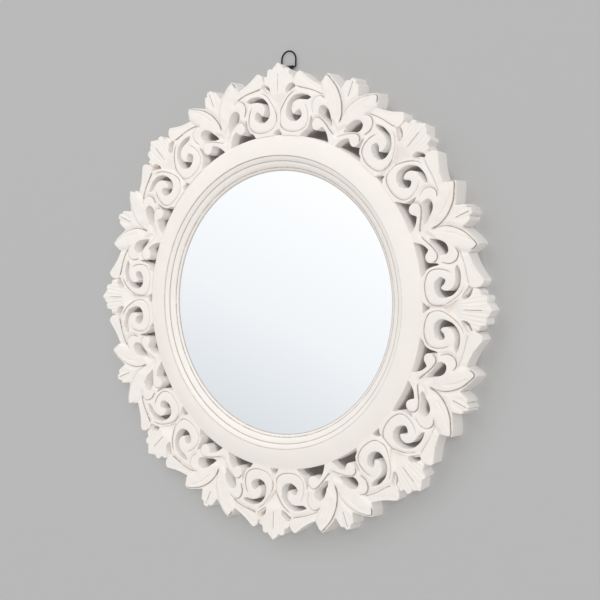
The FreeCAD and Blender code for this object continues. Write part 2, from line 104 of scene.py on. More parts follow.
# Pierced holes, in the same shares
crescent_outer_shares = [
    (0.50, 0.545), (0.44, 0.567), (0.38, 0.576), (0.32, 0.569), (0.26, 0.55), (0.20, 0.50), (0.16, 0.445),
    (0.135, 0.36), (0.13, 0.30), (0.145, 0.25), (0.19, 0.205), (0.26, 0.185), (0.33, 0.205), (0.38, 0.25),
    (0.395, 0.285)]
crescent_curl_shares = [
    (0.395, 0.285), (0.38, 0.32), (0.35, 0.352), (0.31, 0.34), (0.285, 0.312), (0.262, 0.284)]
crescent_inner_shares = [
    (0.262, 0.284), (0.232, 0.31), (0.217, 0.37), (0.238, 0.435), (0.285, 0.477), (0.34, 0.497),
    (0.40, 0.50), (0.45, 0.505), (0.478, 0.52), (0.50, 0.545)]
slit_upper_shares = [
    (0.135, 0.575), (0.124, 0.59), (0.125, 0.63), (0.16, 0.685), (0.21, 0.712), (0.23, 0.70)]
slit_lower_shares = [(0.23, 0.70), (0.21, 0.668), (0.175, 0.635), (0.155, 0.595), (0.135, 0.575)]
drop_lower_shares = [
    (0.905, 0.228), (0.86, 0.231), (0.81, 0.255), (0.765, 0.28), (0.725, 0.298), (0.685, 0.315),
    (0.655, 0.348)]
drop_upper_shares = [
    (0.655, 0.348), (0.645, 0.40), (0.66, 0.445), (0.70, 0.468), (0.75, 0.462), (0.79, 0.435),
    (0.83, 0.385), (0.865, 0.32), (0.905, 0.228)]

# The loops' stretches: shares, how the line runs between them, what edge it is, and in millimetres how far
# the wall below it flares towards the back. A cut lies on the fan's axis or the joint, a rim on the band.
outline = [
    (fan_rim_shares, "cornered", "edge", 0.0), (lobe_left_shares, "smooth", "edge", 0.0),
    (lobe_right_shares, "smooth", "edge", 0.0), (leaf_left_shares, "smooth", "edge", 0.3),
    (leaf_right_shares, "smooth", "edge", 2.0), (small_leaf_shares, "cornered", "edge", 1.4),
    (joint_shares, "straight", "cut", 0.0), (spray_rim_shares, "straight", "rim", 0.0),
    (spray_foot_shares, "smooth", "edge", 0.5), (hook_shares, "smooth", "edge", 0.3),
    (volute_side_shares, "smooth", "edge", 0.5), (volute_rim_shares, "straight", "rim", 0.0),
    (arch_shares, "smooth", "edge", 0.3), (axis_shares, "straight", "cut", 0.0)]
crescent = [
    (crescent_outer_shares, "smooth", "edge", 0.3), (crescent_curl_shares, "smooth", "edge", 0.3),
    (crescent_inner_shares, "smooth", "edge", 0.3)]
slit = [(slit_upper_shares, "smooth", "edge", 0.2), (slit_lower_shares, "smooth", "edge", 0.2)]
drop = [(drop_lower_shares, "smooth", "edge", 0.3), (drop_upper_shares, "smooth", "edge", 0.3)]

# Depth of the carved face at spots of the half segment: angle share, height share, depth in millimetres
face_level_shares = [
    (0.0, 1.0, 2.0), (0.07, 0.92, 2.6), (0.14, 0.86, 3.4), (0.20, 0.79, 3.8), (0.0, 0.75, 3.0),
    (0.08, 0.70, 3.4), (0.25, 0.80, 4.6), (0.29, 0.86, 4.4), (0.36, 0.77, 4.4), (0.47, 0.70, 4.8),
    (0.58, 0.65, 5.6), (0.25, 0.56, 4.4), (0.08, 0.30, 4.0), (0.10, 0.13, 4.0), (0.30, 0.11, 4.0),
    (0.47, 0.20, 4.4), (0.45, 0.45, 4.6), (0.35, 0.42, 4.0), (0.32, 0.32, 4.4), (0.56, 0.45, 5.0),
    (0.64, 0.20, 4.6), (0.80, 0.21, 5.2), (0.95, 0.07, 6.4), (0.68, 0.85, 2.6), (0.70, 0.72, 2.8),
    (0.74, 0.58, 3.8), (0.85, 0.48, 4.8), (1.0, 0.22, 6.4), (1.0, 0.40, 6.8), (1.0, 0.65, 5.4),
    (1.0, 0.90, 4.2), (0.91, 0.78, 4.6)]

# How softly one spot's depth gives way to the next, as a squared share and a power
spot_softness = 0.0006
spot_falloff = 1.6

# Carved lines. The drop lowers one side of a line: the left side, seen along it, where it is positive.
# Each row is shares, width, sink, drop, how far the drop is level, and where it ends, in millimetres.
volute_line_shares = [
    (0.27, 0.612), (0.237, 0.598), (0.178, 0.548), (0.135, 0.495), (0.088, 0.415), (0.05, 0.335),
    (0.034, 0.25), (0.042, 0.168), (0.075, 0.105), (0.14, 0.068), (0.22, 0.052), (0.31, 0.052),
    (0.40, 0.078), (0.47, 0.125), (0.50, 0.20), (0.49, 0.30), (0.455, 0.39), (0.41, 0.45)]
lobe_line_shares = [
    (0.265, 0.682), (0.30, 0.668), (0.38, 0.655), (0.47, 0.645), (0.56, 0.628), (0.65, 0.605)]
lobe_end_shares = [(0.262, 0.675), (0.238, 0.705), (0.230, 0.75), (0.232, 0.80)]
hook_line_shares = [
    (0.982, 0.136), (0.947, 0.146), (0.876, 0.19), (0.808, 0.235), (0.738, 0.275), (0.68, 0.296),
    (0.63, 0.285), (0.598, 0.25), (0.592, 0.21)]
flank_line_shares = [
    (0.996, 0.30), (0.99, 0.42), (0.972, 0.495), (0.95, 0.553), (0.915, 0.622), (0.862, 0.70),
    (0.805, 0.766), (0.74, 0.82), (0.69, 0.86), (0.655, 0.873), (0.625, 0.82), (0.618, 0.76)]
leaf_crease_shares = [(0.71, 0.785), (0.745, 0.735), (0.79, 0.675), (0.845, 0.575), (0.89, 0.47)]
bulge_line_shares = [
    (0.57, 0.33), (0.548, 0.38), (0.53, 0.43), (0.532, 0.49), (0.552, 0.545), (0.60, 0.583),
    (0.655, 0.585), (0.70, 0.56)]
small_leaf_line_shares = [(1.0, 0.68), (1.0, 0.90)]
fan_line_shares = [(0.0, 0.60), (0.0, 0.86)]
carved_lines = [
    (volute_line_shares, 1.3, 0.9, 0.7, 0.4, 3.0),
    (lobe_line_shares, 1.3, 1.0, -1.4, 0.8, 7.0),
    (lobe_end_shares, 0.0, 0.0, 3.0, 1.0, 7.0),
    (hook_line_shares, 1.3, 0.9, -1.6, 1.0, 5.0),
    (flank_line_shares, 1.3, 1.1, -1.8, 0.6, 9.0),
    (leaf_crease_shares, 0.0, 0.0, 1.2, 0.4, 5.0),
    (bulge_line_shares, 1.1, 0.6, 1.4, 0.8, 6.0),
    (small_leaf_line_shares, 1.6, 1.2, 0.0, 0.0, 1.0),
    (fan_line_shares, 1.1, 0.6, 0.0, 0.0, 1.0),
]

# A carved line comes to its full depth over this share of its length, with this head start at its ends.
# Its stain is this wide, and lies this far towards its high side.
taper_share = 0.08
taper_start_share = 0.15
stain_width = 0.5 * MM
stain_shift = 0.35 * MM

# Soft hollows: shares, half width at the first point and at the last, and sink, in millimetres
first_flute_shares = [(0.022, 0.56), (0.028, 0.74), (0.036, 0.96)]
second_flute_shares = [(0.055, 0.54), (0.072, 0.72), (0.084, 0.90)]
third_flute_shares = [(0.085, 0.54), (0.11, 0.68), (0.13, 0.91)]
fourth_flute_shares = [(0.12, 0.60), (0.15, 0.70), (0.172, 0.82)]
lobe_hollow_shares = [(0.30, 0.84), (0.40, 0.76), (0.52, 0.70)]
small_leaf_hollow_shares = [(0.965, 0.72), (0.955, 0.80), (0.96, 0.86)]
leaf_root_shares = [(0.60, 0.71), (0.625, 0.63), (0.65, 0.595), (0.69, 0.555)]
spray_crease_shares = [(0.885, 0.285), (0.94, 0.225), (1.0, 0.165)]
volute_crease_shares = [(0.0, 0.34), (0.0, 0.085)]
hollows = [
    (first_flute_shares, 1.2, 3.0, 0.6),
    (second_flute_shares, 1.4, 3.4, 0.8),
    (third_flute_shares, 1.4, 3.4, 0.7),
    (fourth_flute_shares, 1.4, 2.8, 0.6),
    (leaf_root_shares, 5.0, 4.0, 1.0),
    (spray_crease_shares, 6.0, 9.0, 3.0),
    (volute_crease_shares, 6.0, 5.0, 6.0),
    (lobe_hollow_shares, 5.0, 5.0, 0.5),
    (small_leaf_hollow_shares, 4.0, 3.0, 0.7),
]
hollow_power = 1.5

# Lowered grounds: outline shares, and depths in millimetres at two height shares. They slope down from
# their outline, except near the fan's axis.
neck_ground_shares = [
    (0.0, 0.64), (0.0, 0.30), (0.03, 0.345), (0.06, 0.415), (0.10, 0.485), (0.12, 0.545), (0.13, 0.60),
    (0.13, 0.64)]
slit_ground_shares = [
    (0.125, 0.565), (0.16, 0.58), (0.205, 0.62), (0.243, 0.66), (0.25, 0.69), (0.235, 0.716),
    (0.20, 0.722), (0.158, 0.70), (0.122, 0.655), (0.112, 0.60)]
grounds = [
    (neck_ground_shares, (0.30, 13.5), (0.62, 3.2)),
    (slit_ground_shares, (0.48, 12.5), (0.70, 11.5)),
]
ground_slope = 1.0 * MM
ground_axis_width = 1.2 * MM

# Pieces of a smooth curve between two of its given points, spacing and clearance of the surface points,
# gaps within which points are taken as one, and a width that limits nothing
curve_samples = 8
tracing_step = 2 * MM
edge_rows = (0.2 * MM, 0.6 * MM, 1.6 * MM)
edge_row_clearance_share = 0.85
line_rows = (0, 0.4 * MM, -0.4 * MM, 1.1 * MM, -1.1 * MM)
line_row_clearance = 0.8 * MM
grid_edge_clearance = 2.4 * MM
grid_line_clearance = 1.9 * MM
cut_clearance = 0.4 * MM
point_gap = 0.3 * MM
seam_gap = 0.02 * MM
spin_gap = 0.01 * MM
on_line_gap = 0.001 * MM
tolerance = 1e-7
no_limit = 1.0

# The walls below the loops: shares of the depth that have a row of points, how the flare grows, how much
# of the free room it may take, and how many neighbours even it out
wall_depth_shares = (0.0, 0.03, 0.12, 0.32, 0.55, 0.72, 0.86, 0.985, 1.0)
back_edge_share = wall_depth_shares[-2]
flare_power = 0.7
flare_room_share = 0.85
flare_limit_share = 0.95
widest_room = 9 * MM
flare_neighbours = 3
room_neighbours = 2

# How far the back of the outer wall leans in towards the mirror: angle share and millimetres. It starts at
# a height share and has its full amount a little above it.
lean_shares = [(0.0, 3.4), (0.12, 2.8), (0.22, 2.2), (0.32, 1.8), (0.45, 0.6), (0.58, 0.0), (1.0, 0.0)]
lean_height_share = 0.58
lean_rise_share = 0.2

# Painted shade down the walls, from 0 for the full white paint to 1 for the darkest, standing in for
# the shade on the outer walls and deep in the openings. In an opening it keeps its first value down to a
# share of the depth, then darkens, at the pace of outline, crescent, slit and drop, and is paler again
# on the back. The outline counts as an opening below a height share.
wall_shade = 0.02
shade_start_share = 0.61
shade_rise_share = 0.32
shade_paces = (1.12, 1.22, 1.3, 1.0)
back_shade = 0.3
back_share = 0.99
opening_height_share = 0.5
outer_shade = 0.17
outer_shade_rise = 10
outer_shade_gain = 0.08

# Wear reaches in this far from a carved edge
wear_width = 2.0 * MM

# Points this near the rim are the carving's feet, and lap into the band by this much
foot_gap = 0.05 * MM
foot_lap = 0.3 * MM

# Drifts of a hand-carved piece: two waves, each by angle, by height and by phase, how high the second is,
# how the phase differs, how strong the drift is along each axis, and how it fades at the foot and the tip
first_drift = (3.1, 4.3, 1.9)
second_drift = (7.3, 6.1, 1.3)
second_drift_height = 0.6
piece_phase = 1.7
axis_phase = 2.3
drift_sizes = (1.0, 0.5, 1.0)
foot_fade = 3
top_fade = 12
top_height_share = 0.985

# Waves round a turned ring: how many, height, phase, and turn of the phase per metre of radius
ring_waves = [(5, 1.0, 0.7, 0), (11, 0.7, 1.9, 0), (23, 0.5, 0, 90)]
sway_depth = 12 * MM
band_sway = 0.25 * MM
moulding_sway = 0.12 * MM

# Spacing of points along the rings' profiles, from the finest curve to the flat back
edge_step = 0.3 * MM
bead_step = 0.35 * MM
rim_step = 0.4 * MM
crown_step = 0.7 * MM
corner_step = 1 * MM
side_step = 3 * MM
moulding_back_step = 4 * MM
moulding_side_step = 5 * MM
band_back_step = 9 * MM
edge_crown_share = 0.25
rim_crown_share = 0.2
ledge_lift = 0.1 * MM

# Stain in the rings' grooves, and a painted shadow and reflection on the ledge at the glass: width in
# millimetres, strength, share that only the mirror's left side has, or its right side where it is
# negative, and share that is broken into dashes
band_stain = (0.45, 0.2, -1.8, 0.0)
outer_groove_stain = (0.6, 0.5, 0.2, 0.0)
middle_groove_stain = (0.8, 0.9, 0.3, 0.0)
inner_groove_stain = (0.9, 1.0, 0.15, 0.5)
ledge_shadow_and_reflection = (1.0, 0.6, 0.5, 0.2)
left_phase = 0.35
dash_waves = [(97, 1.0), (61, 2.0)]

# Wear along the rings' edges, and painted shade on the ledge at the glass
crest_wear = 0.8 * MM
groove_wear = 1.8 * MM
ledge_wear = 1.5 * MM
ledge_width = 1.4 * MM
ledge_painted_shade = 0.3
ledge_core = 1.5

# Edges sharper than these angles stay sharp, in degrees
carving_crease = 42
band_crease = 40
moulding_crease = 50
wire_crease = 60

# Steps along the hanger ring's bends and round its wire
loop_steps = 32
corner_steps = 8
wire_roundness = 6

# Height of the finishes' fine relief
paint_relief = 0.4 * MM
card_relief = 0.1 * MM
board_relief = 0.15 * MM
lacquer_relief = 0.05 * MM

# Wall and floor, and radii between which the wall changes: where the shadow painted on the wall behind
# the frame ends, where the wall becomes even, and where its light for the back of the frame ends
stage_size = 12.0
wall_gap = 0.5 * MM
floor_height = -1.4
painted_shadow = (0.33, 0.31, 0.29)
painted_shadow_end = (350 * MM, 375 * MM)
even_wall_start = (375 * MM, 445 * MM)
even_wall_share = 0.8
back_light_end = (430 * MM, 400 * MM)

# Lamps: name, kind, place, angle or size, and power. They point at the mirror's centre.
lamp_rows = [
    ("key", "SUN", (1.08, -1.60, 0.52), math.radians(20), 0.655),
    ("top", "AREA", (-0.5, -1.9, 1.9), 1.6, 10.0),
    ("back", "SUN", (0, 2, 0), math.radians(40), 2.2),
]

# The tone of the room that glass and metal reflect follows height plus this share of the way across, over
# two bands, and the dome's light follows height alone
room_tilt = 0.6
low_band = (-0.535, -0.40)
high_band = (-0.40, -0.24)
dome_band = (-0.7, 0.8)

# Camera at the photograph's place and angle, with its lens and sensor in millimetres
camera_spot = Vector((1.1858, -1.6430, 0.0717))
camera_aim = Vector((0.0238, 0.0, 0.0044))
camera_roll = math.radians(0.62)
camera_lens = 71.52
camera_sensor = 36.0


class CarvingSizes(bpy.types.PropertyGroup):
    """Sizes of the carved border's surface."""
    grid_step: bpy.props.FloatProperty(
        name="Grid step", description="Distance between surface points away from lines",
        default=1.5 * MM, min=0.6 * MM, subtype="DISTANCE", unit="LENGTH")
    line_step: bpy.props.FloatProperty(
        name="Line step", description="Distance between points along outlines and carved lines",
        default=1.0 * MM, min=0.4 * MM, subtype="DISTANCE", unit="LENGTH")
    edge_round: bpy.props.FloatProperty(
        name="Edge rounding", description="Radius worn onto every front edge",
        default=0.5 * MM, subtype="DISTANCE", unit="LENGTH")
    crown_width: bpy.props.FloatProperty(
        name="Crown width", description="How far the soft crown reaches in from an edge",
        default=3.0 * MM, subtype="DISTANCE", unit="LENGTH")
    crown_drop: bpy.props.FloatProperty(
        name="Crown drop", description="How far the soft crown falls towards an edge",
        default=0.25 * MM, subtype="DISTANCE", unit="LENGTH")
    unevenness: bpy.props.FloatProperty(
        name="Hand unevenness", description="How far one carved piece strays from the next",
        default=0.7 * MM, subtype="DISTANCE", unit="LENGTH")


class RingSizes(bpy.types.PropertyGroup):
    """Sizes of the turned rings and of the hanger's wire."""
    band_edge: bpy.props.FloatProperty(
        name="Band edge", description="Softened inner edge of the band",
        default=0.5 * MM, subtype="DISTANCE", unit="LENGTH")
    band_crown: bpy.props.FloatProperty(
        name="Band crown", description="How far the band's face bulges",
        default=1.2 * MM, subtype="DISTANCE", unit="LENGTH")
    rim_depth: bpy.props.FloatProperty(
        name="Rim depth", description="How far the band's rim lies behind the front plane",
        default=5.8 * MM, subtype="DISTANCE", unit="LENGTH")
    rim_round: bpy.props.FloatProperty(
        name="Rim rounding", description="Width of the worn rim of the band",
        default=0.9 * MM, subtype="DISTANCE", unit="LENGTH")
    groove_width: bpy.props.FloatProperty(
        name="Outer groove width", description="Gap between the band and the outer bead",
        default=0.7 * MM, subtype="DISTANCE", unit="LENGTH")
    groove_depth: bpy.props.FloatProperty(
        name="Outer groove depth", description="Depth at which the outer bead starts",
        default=2.2 * MM, subtype="DISTANCE", unit="LENGTH")
    outer_bead: bpy.props.FloatProperty(
        name="Outer bead", description="Width of the outer bead",
        default=8.3 * MM, subtype="DISTANCE", unit="LENGTH")
    outer_bead_drop: bpy.props.FloatProperty(
        name="Outer bead drop", description="How far the outer bead falls towards the glass",
        default=3.9 * MM, subtype="DISTANCE", unit="LENGTH")
    inner_bead: bpy.props.FloatProperty(
        name="Inner bead", description="Width of the inner bead",
        default=10.5 * MM, subtype="DISTANCE", unit="LENGTH")
    inner_bead_drop: bpy.props.FloatProperty(
        name="Inner bead drop", description="How far the inner bead falls towards the glass",
        default=5.0 * MM, subtype="DISTANCE", unit="LENGTH")
    bead_crown: bpy.props.FloatProperty(
        name="Bead crown", description="Bulge of a bead as a share of its width",
        default=0.095, subtype="FACTOR")
    lip_crown: bpy.props.FloatProperty(
        name="Lip crown", description="Bulge of the sloping lip",
        default=0.3 * MM, subtype="DISTANCE", unit="LENGTH")
    lip_edge: bpy.props.FloatProperty(
        name="Lip edge", description="Thickness of the lip at the glass",
        default=1.0 * MM, subtype="DISTANCE", unit="LENGTH")
    lip_ledge: bpy.props.FloatProperty(
        name="Lip ledge", description="Narrow ledge between the lip's front and the glass",
        default=1.8 * MM, subtype="DISTANCE", unit="LENGTH")
    rebate: bpy.props.FloatProperty(
        name="Rebate", description="How far the glass reaches in behind the lip",
        default=8.5 * MM, subtype="DISTANCE", unit="LENGTH")
    wire_corner: bpy.props.FloatProperty(
        name="Wire corner", description="Bend radius at the foot of the hanger ring",
        default=3.0 * MM, subtype="DISTANCE", unit="LENGTH")
    turning_steps: bpy.props.IntProperty(
        name="Turning steps", description="Faces round a turned ring", default=288, min=64)


class FinishColours(bpy.types.PropertyGroup):
    """Colours of the finishes."""
    paint: bpy.props.FloatVectorProperty(
        name="Paint", description="Chalky white paint", subtype="COLOR", size=4,
        default=(0.945, 0.90, 0.855, 1))
    # Painted shade: a dark colour mixed into the paint down the walls and deep in the openings, where
    # shade falls
    shade: bpy.props.FloatVectorProperty(
        name="Thin paint", description="Paint on the sides, where it is thinner", subtype="COLOR", size=4,
        default=(0.30, 0.265, 0.24, 1))
    # Painted shade: a greyer, cooler white for every wall, standing in for how the walls are lit
    painted_side_shade: bpy.props.FloatVectorProperty(
        name="Side paint", description="Slightly greyer paint on the sides", subtype="COLOR", size=4,
        default=(0.94, 0.908, 0.878, 1))
    line: bpy.props.FloatVectorProperty(
        name="Groove brown", description="Stain left in the carved lines", subtype="COLOR", size=4,
        default=(0.20, 0.145, 0.11, 1))
    bare: bpy.props.FloatVectorProperty(
        name="Bare wood", description="Wood where the paint is rubbed through", subtype="COLOR", size=4,
        default=(0.60, 0.36, 0.22, 1))
    wall: bpy.props.FloatVectorProperty(
        name="Wall", description="Wall behind the mirror", subtype="COLOR", size=4,
        default=(0.49, 0.49, 0.49, 1))
    floor: bpy.props.FloatVectorProperty(
        name="Floor", description="Floor below the mirror", subtype="COLOR", size=4,
        default=(0.72, 0.71, 0.69, 1))


def deselect():
    """Nothing is selected and nothing is being edited."""
    if bpy.context.mode != "OBJECT":
        bpy.ops.object.mode_set(mode="OBJECT")
    bpy.ops.object.select_all(action="DESELECT")


def pick(obj):
    """Only this object is selected, and it is active."""
    deselect()
    obj.select_set(True)
    bpy.context.view_layer.objects.active = obj


def settle(obj):
    """The object sits at the origin, with its place in its mesh."""
    pick(obj)
    bpy.ops.object.transform_apply(location=True, rotation=True, scale=True)


def dress(obj, material, crease):
    """One material, and smooth shading with edges sharper than the crease angle kept."""
    obj.data.materials.clear()
    obj.data.materials.append(material)
    pick(obj)
    bpy.ops.object.shade_smooth_by_angle(angle=math.radians(crease))


def mesh_object(name, points, edges, faces):
    """Mesh object from points and from edges or faces."""
    mesh = bpy.data.meshes.new(name)
    mesh.from_pydata([tuple(point) for point in points], edges, [tuple(face) for face in faces])
    obj = bpy.data.objects.new(name, mesh)
    bpy.context.scene.collection.objects.link(obj)
    return obj


def coordinates(obj):
    """Points of a mesh object, a row each."""
    points = np.empty(len(obj.data.vertices) * 3)
    obj.data.vertices.foreach_get("co", points)
    return points.reshape(-1, 3)


def place(shares):
    """Points across the border, as x and z, from angle shares and height shares."""
    shares = np.asarray(shares, float)
    angle = half_angle * shares[:, 0]
    radius = rim_radius + reach * shares[:, 1]
    return np.stack([radius * np.sin(angle), radius * np.cos(angle)], 1)


def shares_of(points):
    """Angle share, negative to the left of the fan's axis, and height share of points as x and z."""
    angle = np.arctan2(points[:, 0], points[:, 1]) / half_angle
    height = (np.hypot(points[:, 0], points[:, 1]) - rim_radius) / reach
    return angle, height


def resampled(points, step):
    """Points spaced evenly along a line, with both ends kept."""
    runs = np.hypot(*np.diff(points, axis=0).T)
    along = np.concatenate([[0], np.cumsum(runs)])
    count = max(1, round(along[-1] / step))
    spots = np.linspace(0, along[-1], count + 1)
    return np.stack([np.interp(spots, along, points[:, axis]) for axis in (0, 1)], 1)


def cornered(points, step):
    """Points spaced along straight runs, with every corner kept."""
    runs = [resampled(np.array(pair), step)[:-1] for pair in zip(points, points[1:])]
    return np.vstack(runs + [points[-1:]])


def between(time, first_time, last_time, first, last):
    """The point that a straight run from first to last has reached at a time."""
    length = last_time - first_time
    return (last_time - time) / length * first + (time - first_time) / length * last


def rounded(points):
    """Smooth curve through points, and through one more beyond each end that carries its direction on."""
    before = 2 * points[0] - points[1]
    after = 2 * points[-1] - points[-2]
    knots = np.vstack([before, points, after])
    pieces = []
    for p0, p1, p2, p3 in zip(knots, knots[1:], knots[2:], knots[3:]):
        t0 = 0.0
        t1 = t0 + math.sqrt(np.hypot(*(p1 - p0)))
        t2 = t1 + math.sqrt(np.hypot(*(p2 - p1)))
        t3 = t2 + math.sqrt(np.hypot(*(p3 - p2)))
        t = np.linspace(t1, t2, curve_samples + 1)[:-1, None]
        a1 = between(t, t0, t1, p0, p1)
        a2 = between(t, t1, t2, p1, p2)
        a3 = between(t, t2, t3, p2, p3)
        b1 = between(t, t0, t2, a1, a2)
        b2 = between(t, t1, t3, a2, a3)
        pieces.append(between(t, t1, t2, b1, b2))
    return np.vstack(pieces + [points[-1:]])


def curve(shares, step):
    """Smooth line through shares, with evenly spaced points."""
    points = place(shares)
    return resampled(rounded(points) if len(points) > 2 else points, step)


def closed_loop(shares, step):
    """Straight-sided closed loop through shares, with its first point again at its end."""
    return resampled(place(shares + shares[:1]), step)


def nearest(points, line):
    """Distance to a line, share along it, and side: 1 on its left and -1 on its right."""
    start = line[:-1]
    along = line[1:] - start
    squared = (along ** 2).sum(1)
    distance = np.empty(len(points))
    share = np.empty(len(points))
    side = np.empty(len(points))
    chunk = 2000
    for first in range(0, len(points), chunk):
        part = points[first:first + chunk, None]
        t = np.clip(((part - start) * along).sum(2) / squared, 0, 1)
        gap = part - start - t[..., None] * along
        far = (gap ** 2).sum(2)
        best = far.argmin(1)
        row = np.arange(len(best))
        distance[first:first + chunk] = np.sqrt(far[row, best])
        share[first:first + chunk] = (best + t[row, best]) / len(along)
        gap = gap[row, best]
        side[first:first + chunk] = np.sign(along[best, 0] * gap[:, 1] - along[best, 1] * gap[:, 0])
    return distance, share, side


def gap_to(points, lines):
    """Distance from each point to the nearest of several lines."""
    return np.min([nearest(points, line)[0] for line in lines], axis=0)


def joint_gap(points):
    """Distance of points from the joint's plane, positive on the fan's side of it."""
    return points[:, 1] * joint_direction[0] - points[:, 0] * joint_direction[1]


def inside(points, loop):
    """Whether each point lies inside a closed loop."""
    x, z = points[:, 0], points[:, 1]
    within = np.zeros(len(points), bool)
    for (x0, z0), (x1, z1) in zip(loop, np.roll(loop, -1, axis=0)):
        if z0 != z1:
            crosses = (z0 > z) != (z1 > z)
            within ^= crosses & (x < (x1 - x0) * (z - z0) / (z1 - z0) + x0)
    return within


def in_timber(points, loops):
    """Whether each point lies inside the first loop and outside the rest."""
    within = inside(points, loops[0])
    for hole in loops[1:]:
        within &= ~inside(points, hole)
    return within


def ease(value):
    """Smooth step from 0 to 1."""
    value = np.clip(value, 0, 1)
    return value * value * (3 - 2 * value)


def signed_area(loop):
    """Area of a loop, positive where it runs anticlockwise."""
    following = np.roll(loop, -1, axis=0)
    return (loop[:, 0] * following[:, 1] - loop[:, 1] * following[:, 0]).sum() / 2


def joined(stretches, step):
    """One closed loop from stretches, with the kind of edge and the wall's flare at each point."""
    points = []
    kinds = []
    flares = []
    for shares, form, kind, flare in stretches:
        line = place(shares)
        if form == "cornered":
            line = cornered(line, step)
        else:
            line = resampled(rounded(line) if form == "smooth" else line, step)
        points.append(line[:-1])
        kinds += [kind] * (len(line) - 1)
        flares += [flare * MM] * (len(line) - 1)
    return np.vstack(points), np.array(kinds), np.array(flares)


def left_of(along):
    """Unit directions square to the given ones, on their left."""
    normal = np.stack([-along[:, 1], along[:, 0]], 1)
    return normal / np.hypot(*normal.T)[:, None]


def outward(loop):
    """Unit direction at each point of a loop, away from the timber on its right."""
    return left_of(np.roll(loop, -1, axis=0) - np.roll(loop, 1, axis=0))


def free_width(loop, normal, others):
    """Radius of the largest circle that touches each point from outside and clears all other points."""
    gap = others[None] - loop[:, None]
    facing = (gap * normal[:, None]).sum(2)
    squared = (gap ** 2).sum(2)
    ahead = facing > tolerance
    radius = np.full(facing.shape, no_limit)
    radius[ahead] = squared[ahead] / (2 * facing[ahead])
    return radius.min(1)


def softened(values, width):
    """Running mean round a closed loop."""
    total = sum(np.roll(values, shift) for shift in range(-width, width + 1))
    return total / (2 * width + 1)


def half_loops(step):
    """Outline and holes of the half segment, timber on their right: points, kinds of edge and flares."""
    loops = []
    for stretches in (outline, crescent, slit, drop):
        points, kinds, flare = joined(stretches, step)
        wanted = -1 if stretches is outline else 1
        if signed_area(points) * wanted < 0:
            points = points[::-1]
            kinds = np.roll(kinds[::-1], -1)
            flare = np.roll(flare[::-1], -1)
        loops.append((points, kinds, flare))
    return loops


def leaned(points, fraction):
    """Points of the outer wall moved in towards the mirror, more at the back."""
    angle, height = shares_of(points)
    amounts = np.array(lean_shares)
    amount = np.interp(np.abs(angle), amounts[:, 0], amounts[:, 1]) * MM
    lean = amount * ease((height - lean_height_share) / lean_rise_share) * fraction
    return points * (1 - lean / np.hypot(*points.T))[:, None]


def base_depth(shares):
    """Depth of the face between the level spots, weighted by nearness."""
    spots = np.array(face_level_shares)
    scale = np.array([half_angle * (rim_radius + reach / 2) / reach, 1.0])
    gap = (shares[:, None] - spots[None, :, :2]) * scale
    weight = 1 / ((gap ** 2).sum(2) + spot_softness) ** spot_falloff
    return (weight * spots[:, 2]).sum(1) / weight.sum(1) * MM


def carve(points, edges, sizes):
    """Depth of the carved face at points, and how deep in a carved line and how near an edge each is."""
    angle, height = shares_of(points)
    depth = base_depth(np.stack([np.abs(angle), height], 1))
    stain = np.zeros(len(points))
    edge_gap = gap_to(points, edges)
    depth += sizes.crown_drop * (1 - np.clip(edge_gap / sizes.crown_width, 0, 1)) ** 2
    for shares, first_width, last_width, sink in hollows:
        gap, share, side = nearest(points, curve(shares, tracing_step))
        width = (first_width + (last_width - first_width) * share) * MM
        depth += sink * MM * (1 - np.clip(gap / width, 0, 1) ** 2) ** hollow_power
    for shares, width, sink, fall, level, end in carved_lines:
        gap, share, side = nearest(points, curve(shares, tracing_step))
        taper = ease(np.minimum(share, 1 - share) / taper_share + taper_start_share)
        lowered = side * math.copysign(1, fall) > 0
        fade = 1 - ease((gap - level * MM) / ((end - level) * MM))
        depth += np.where(lowered, abs(fall) * MM * fade * taper, 0)
        if width:
            depth += sink * MM * taper * np.clip(1 - gap / (width / 2 * MM), 0, 1)
            shifted = np.where(lowered, gap + stain_shift, gap - stain_shift) if fall else gap
            stain = np.maximum(stain, taper * np.exp(-(shifted / stain_width) ** 2))
    for shares, (low_share, low_depth), (high_share, high_depth) in grounds:
        loop = closed_loop(shares, tracing_step)
        rise = ease((height - low_share) / (high_share - low_share))
        sunk = np.maximum(depth, (low_depth + (high_depth - low_depth) * rise) * MM)
        amount = ease(nearest(points, loop)[0] / ground_slope)
        amount = np.where(points[:, 0] < ground_axis_width, 1.0, amount)
        depth = np.where(inside(points, loop[:-1]), depth + (sunk - depth) * amount, depth)
    worn = np.clip(1 - edge_gap / wear_width, 0, 1)
    inset = np.clip(sizes.edge_round - edge_gap, 0, None)
    depth += sizes.edge_round - np.sqrt(np.maximum(sizes.edge_round ** 2 - inset ** 2, 0))
    return depth, stain, worn


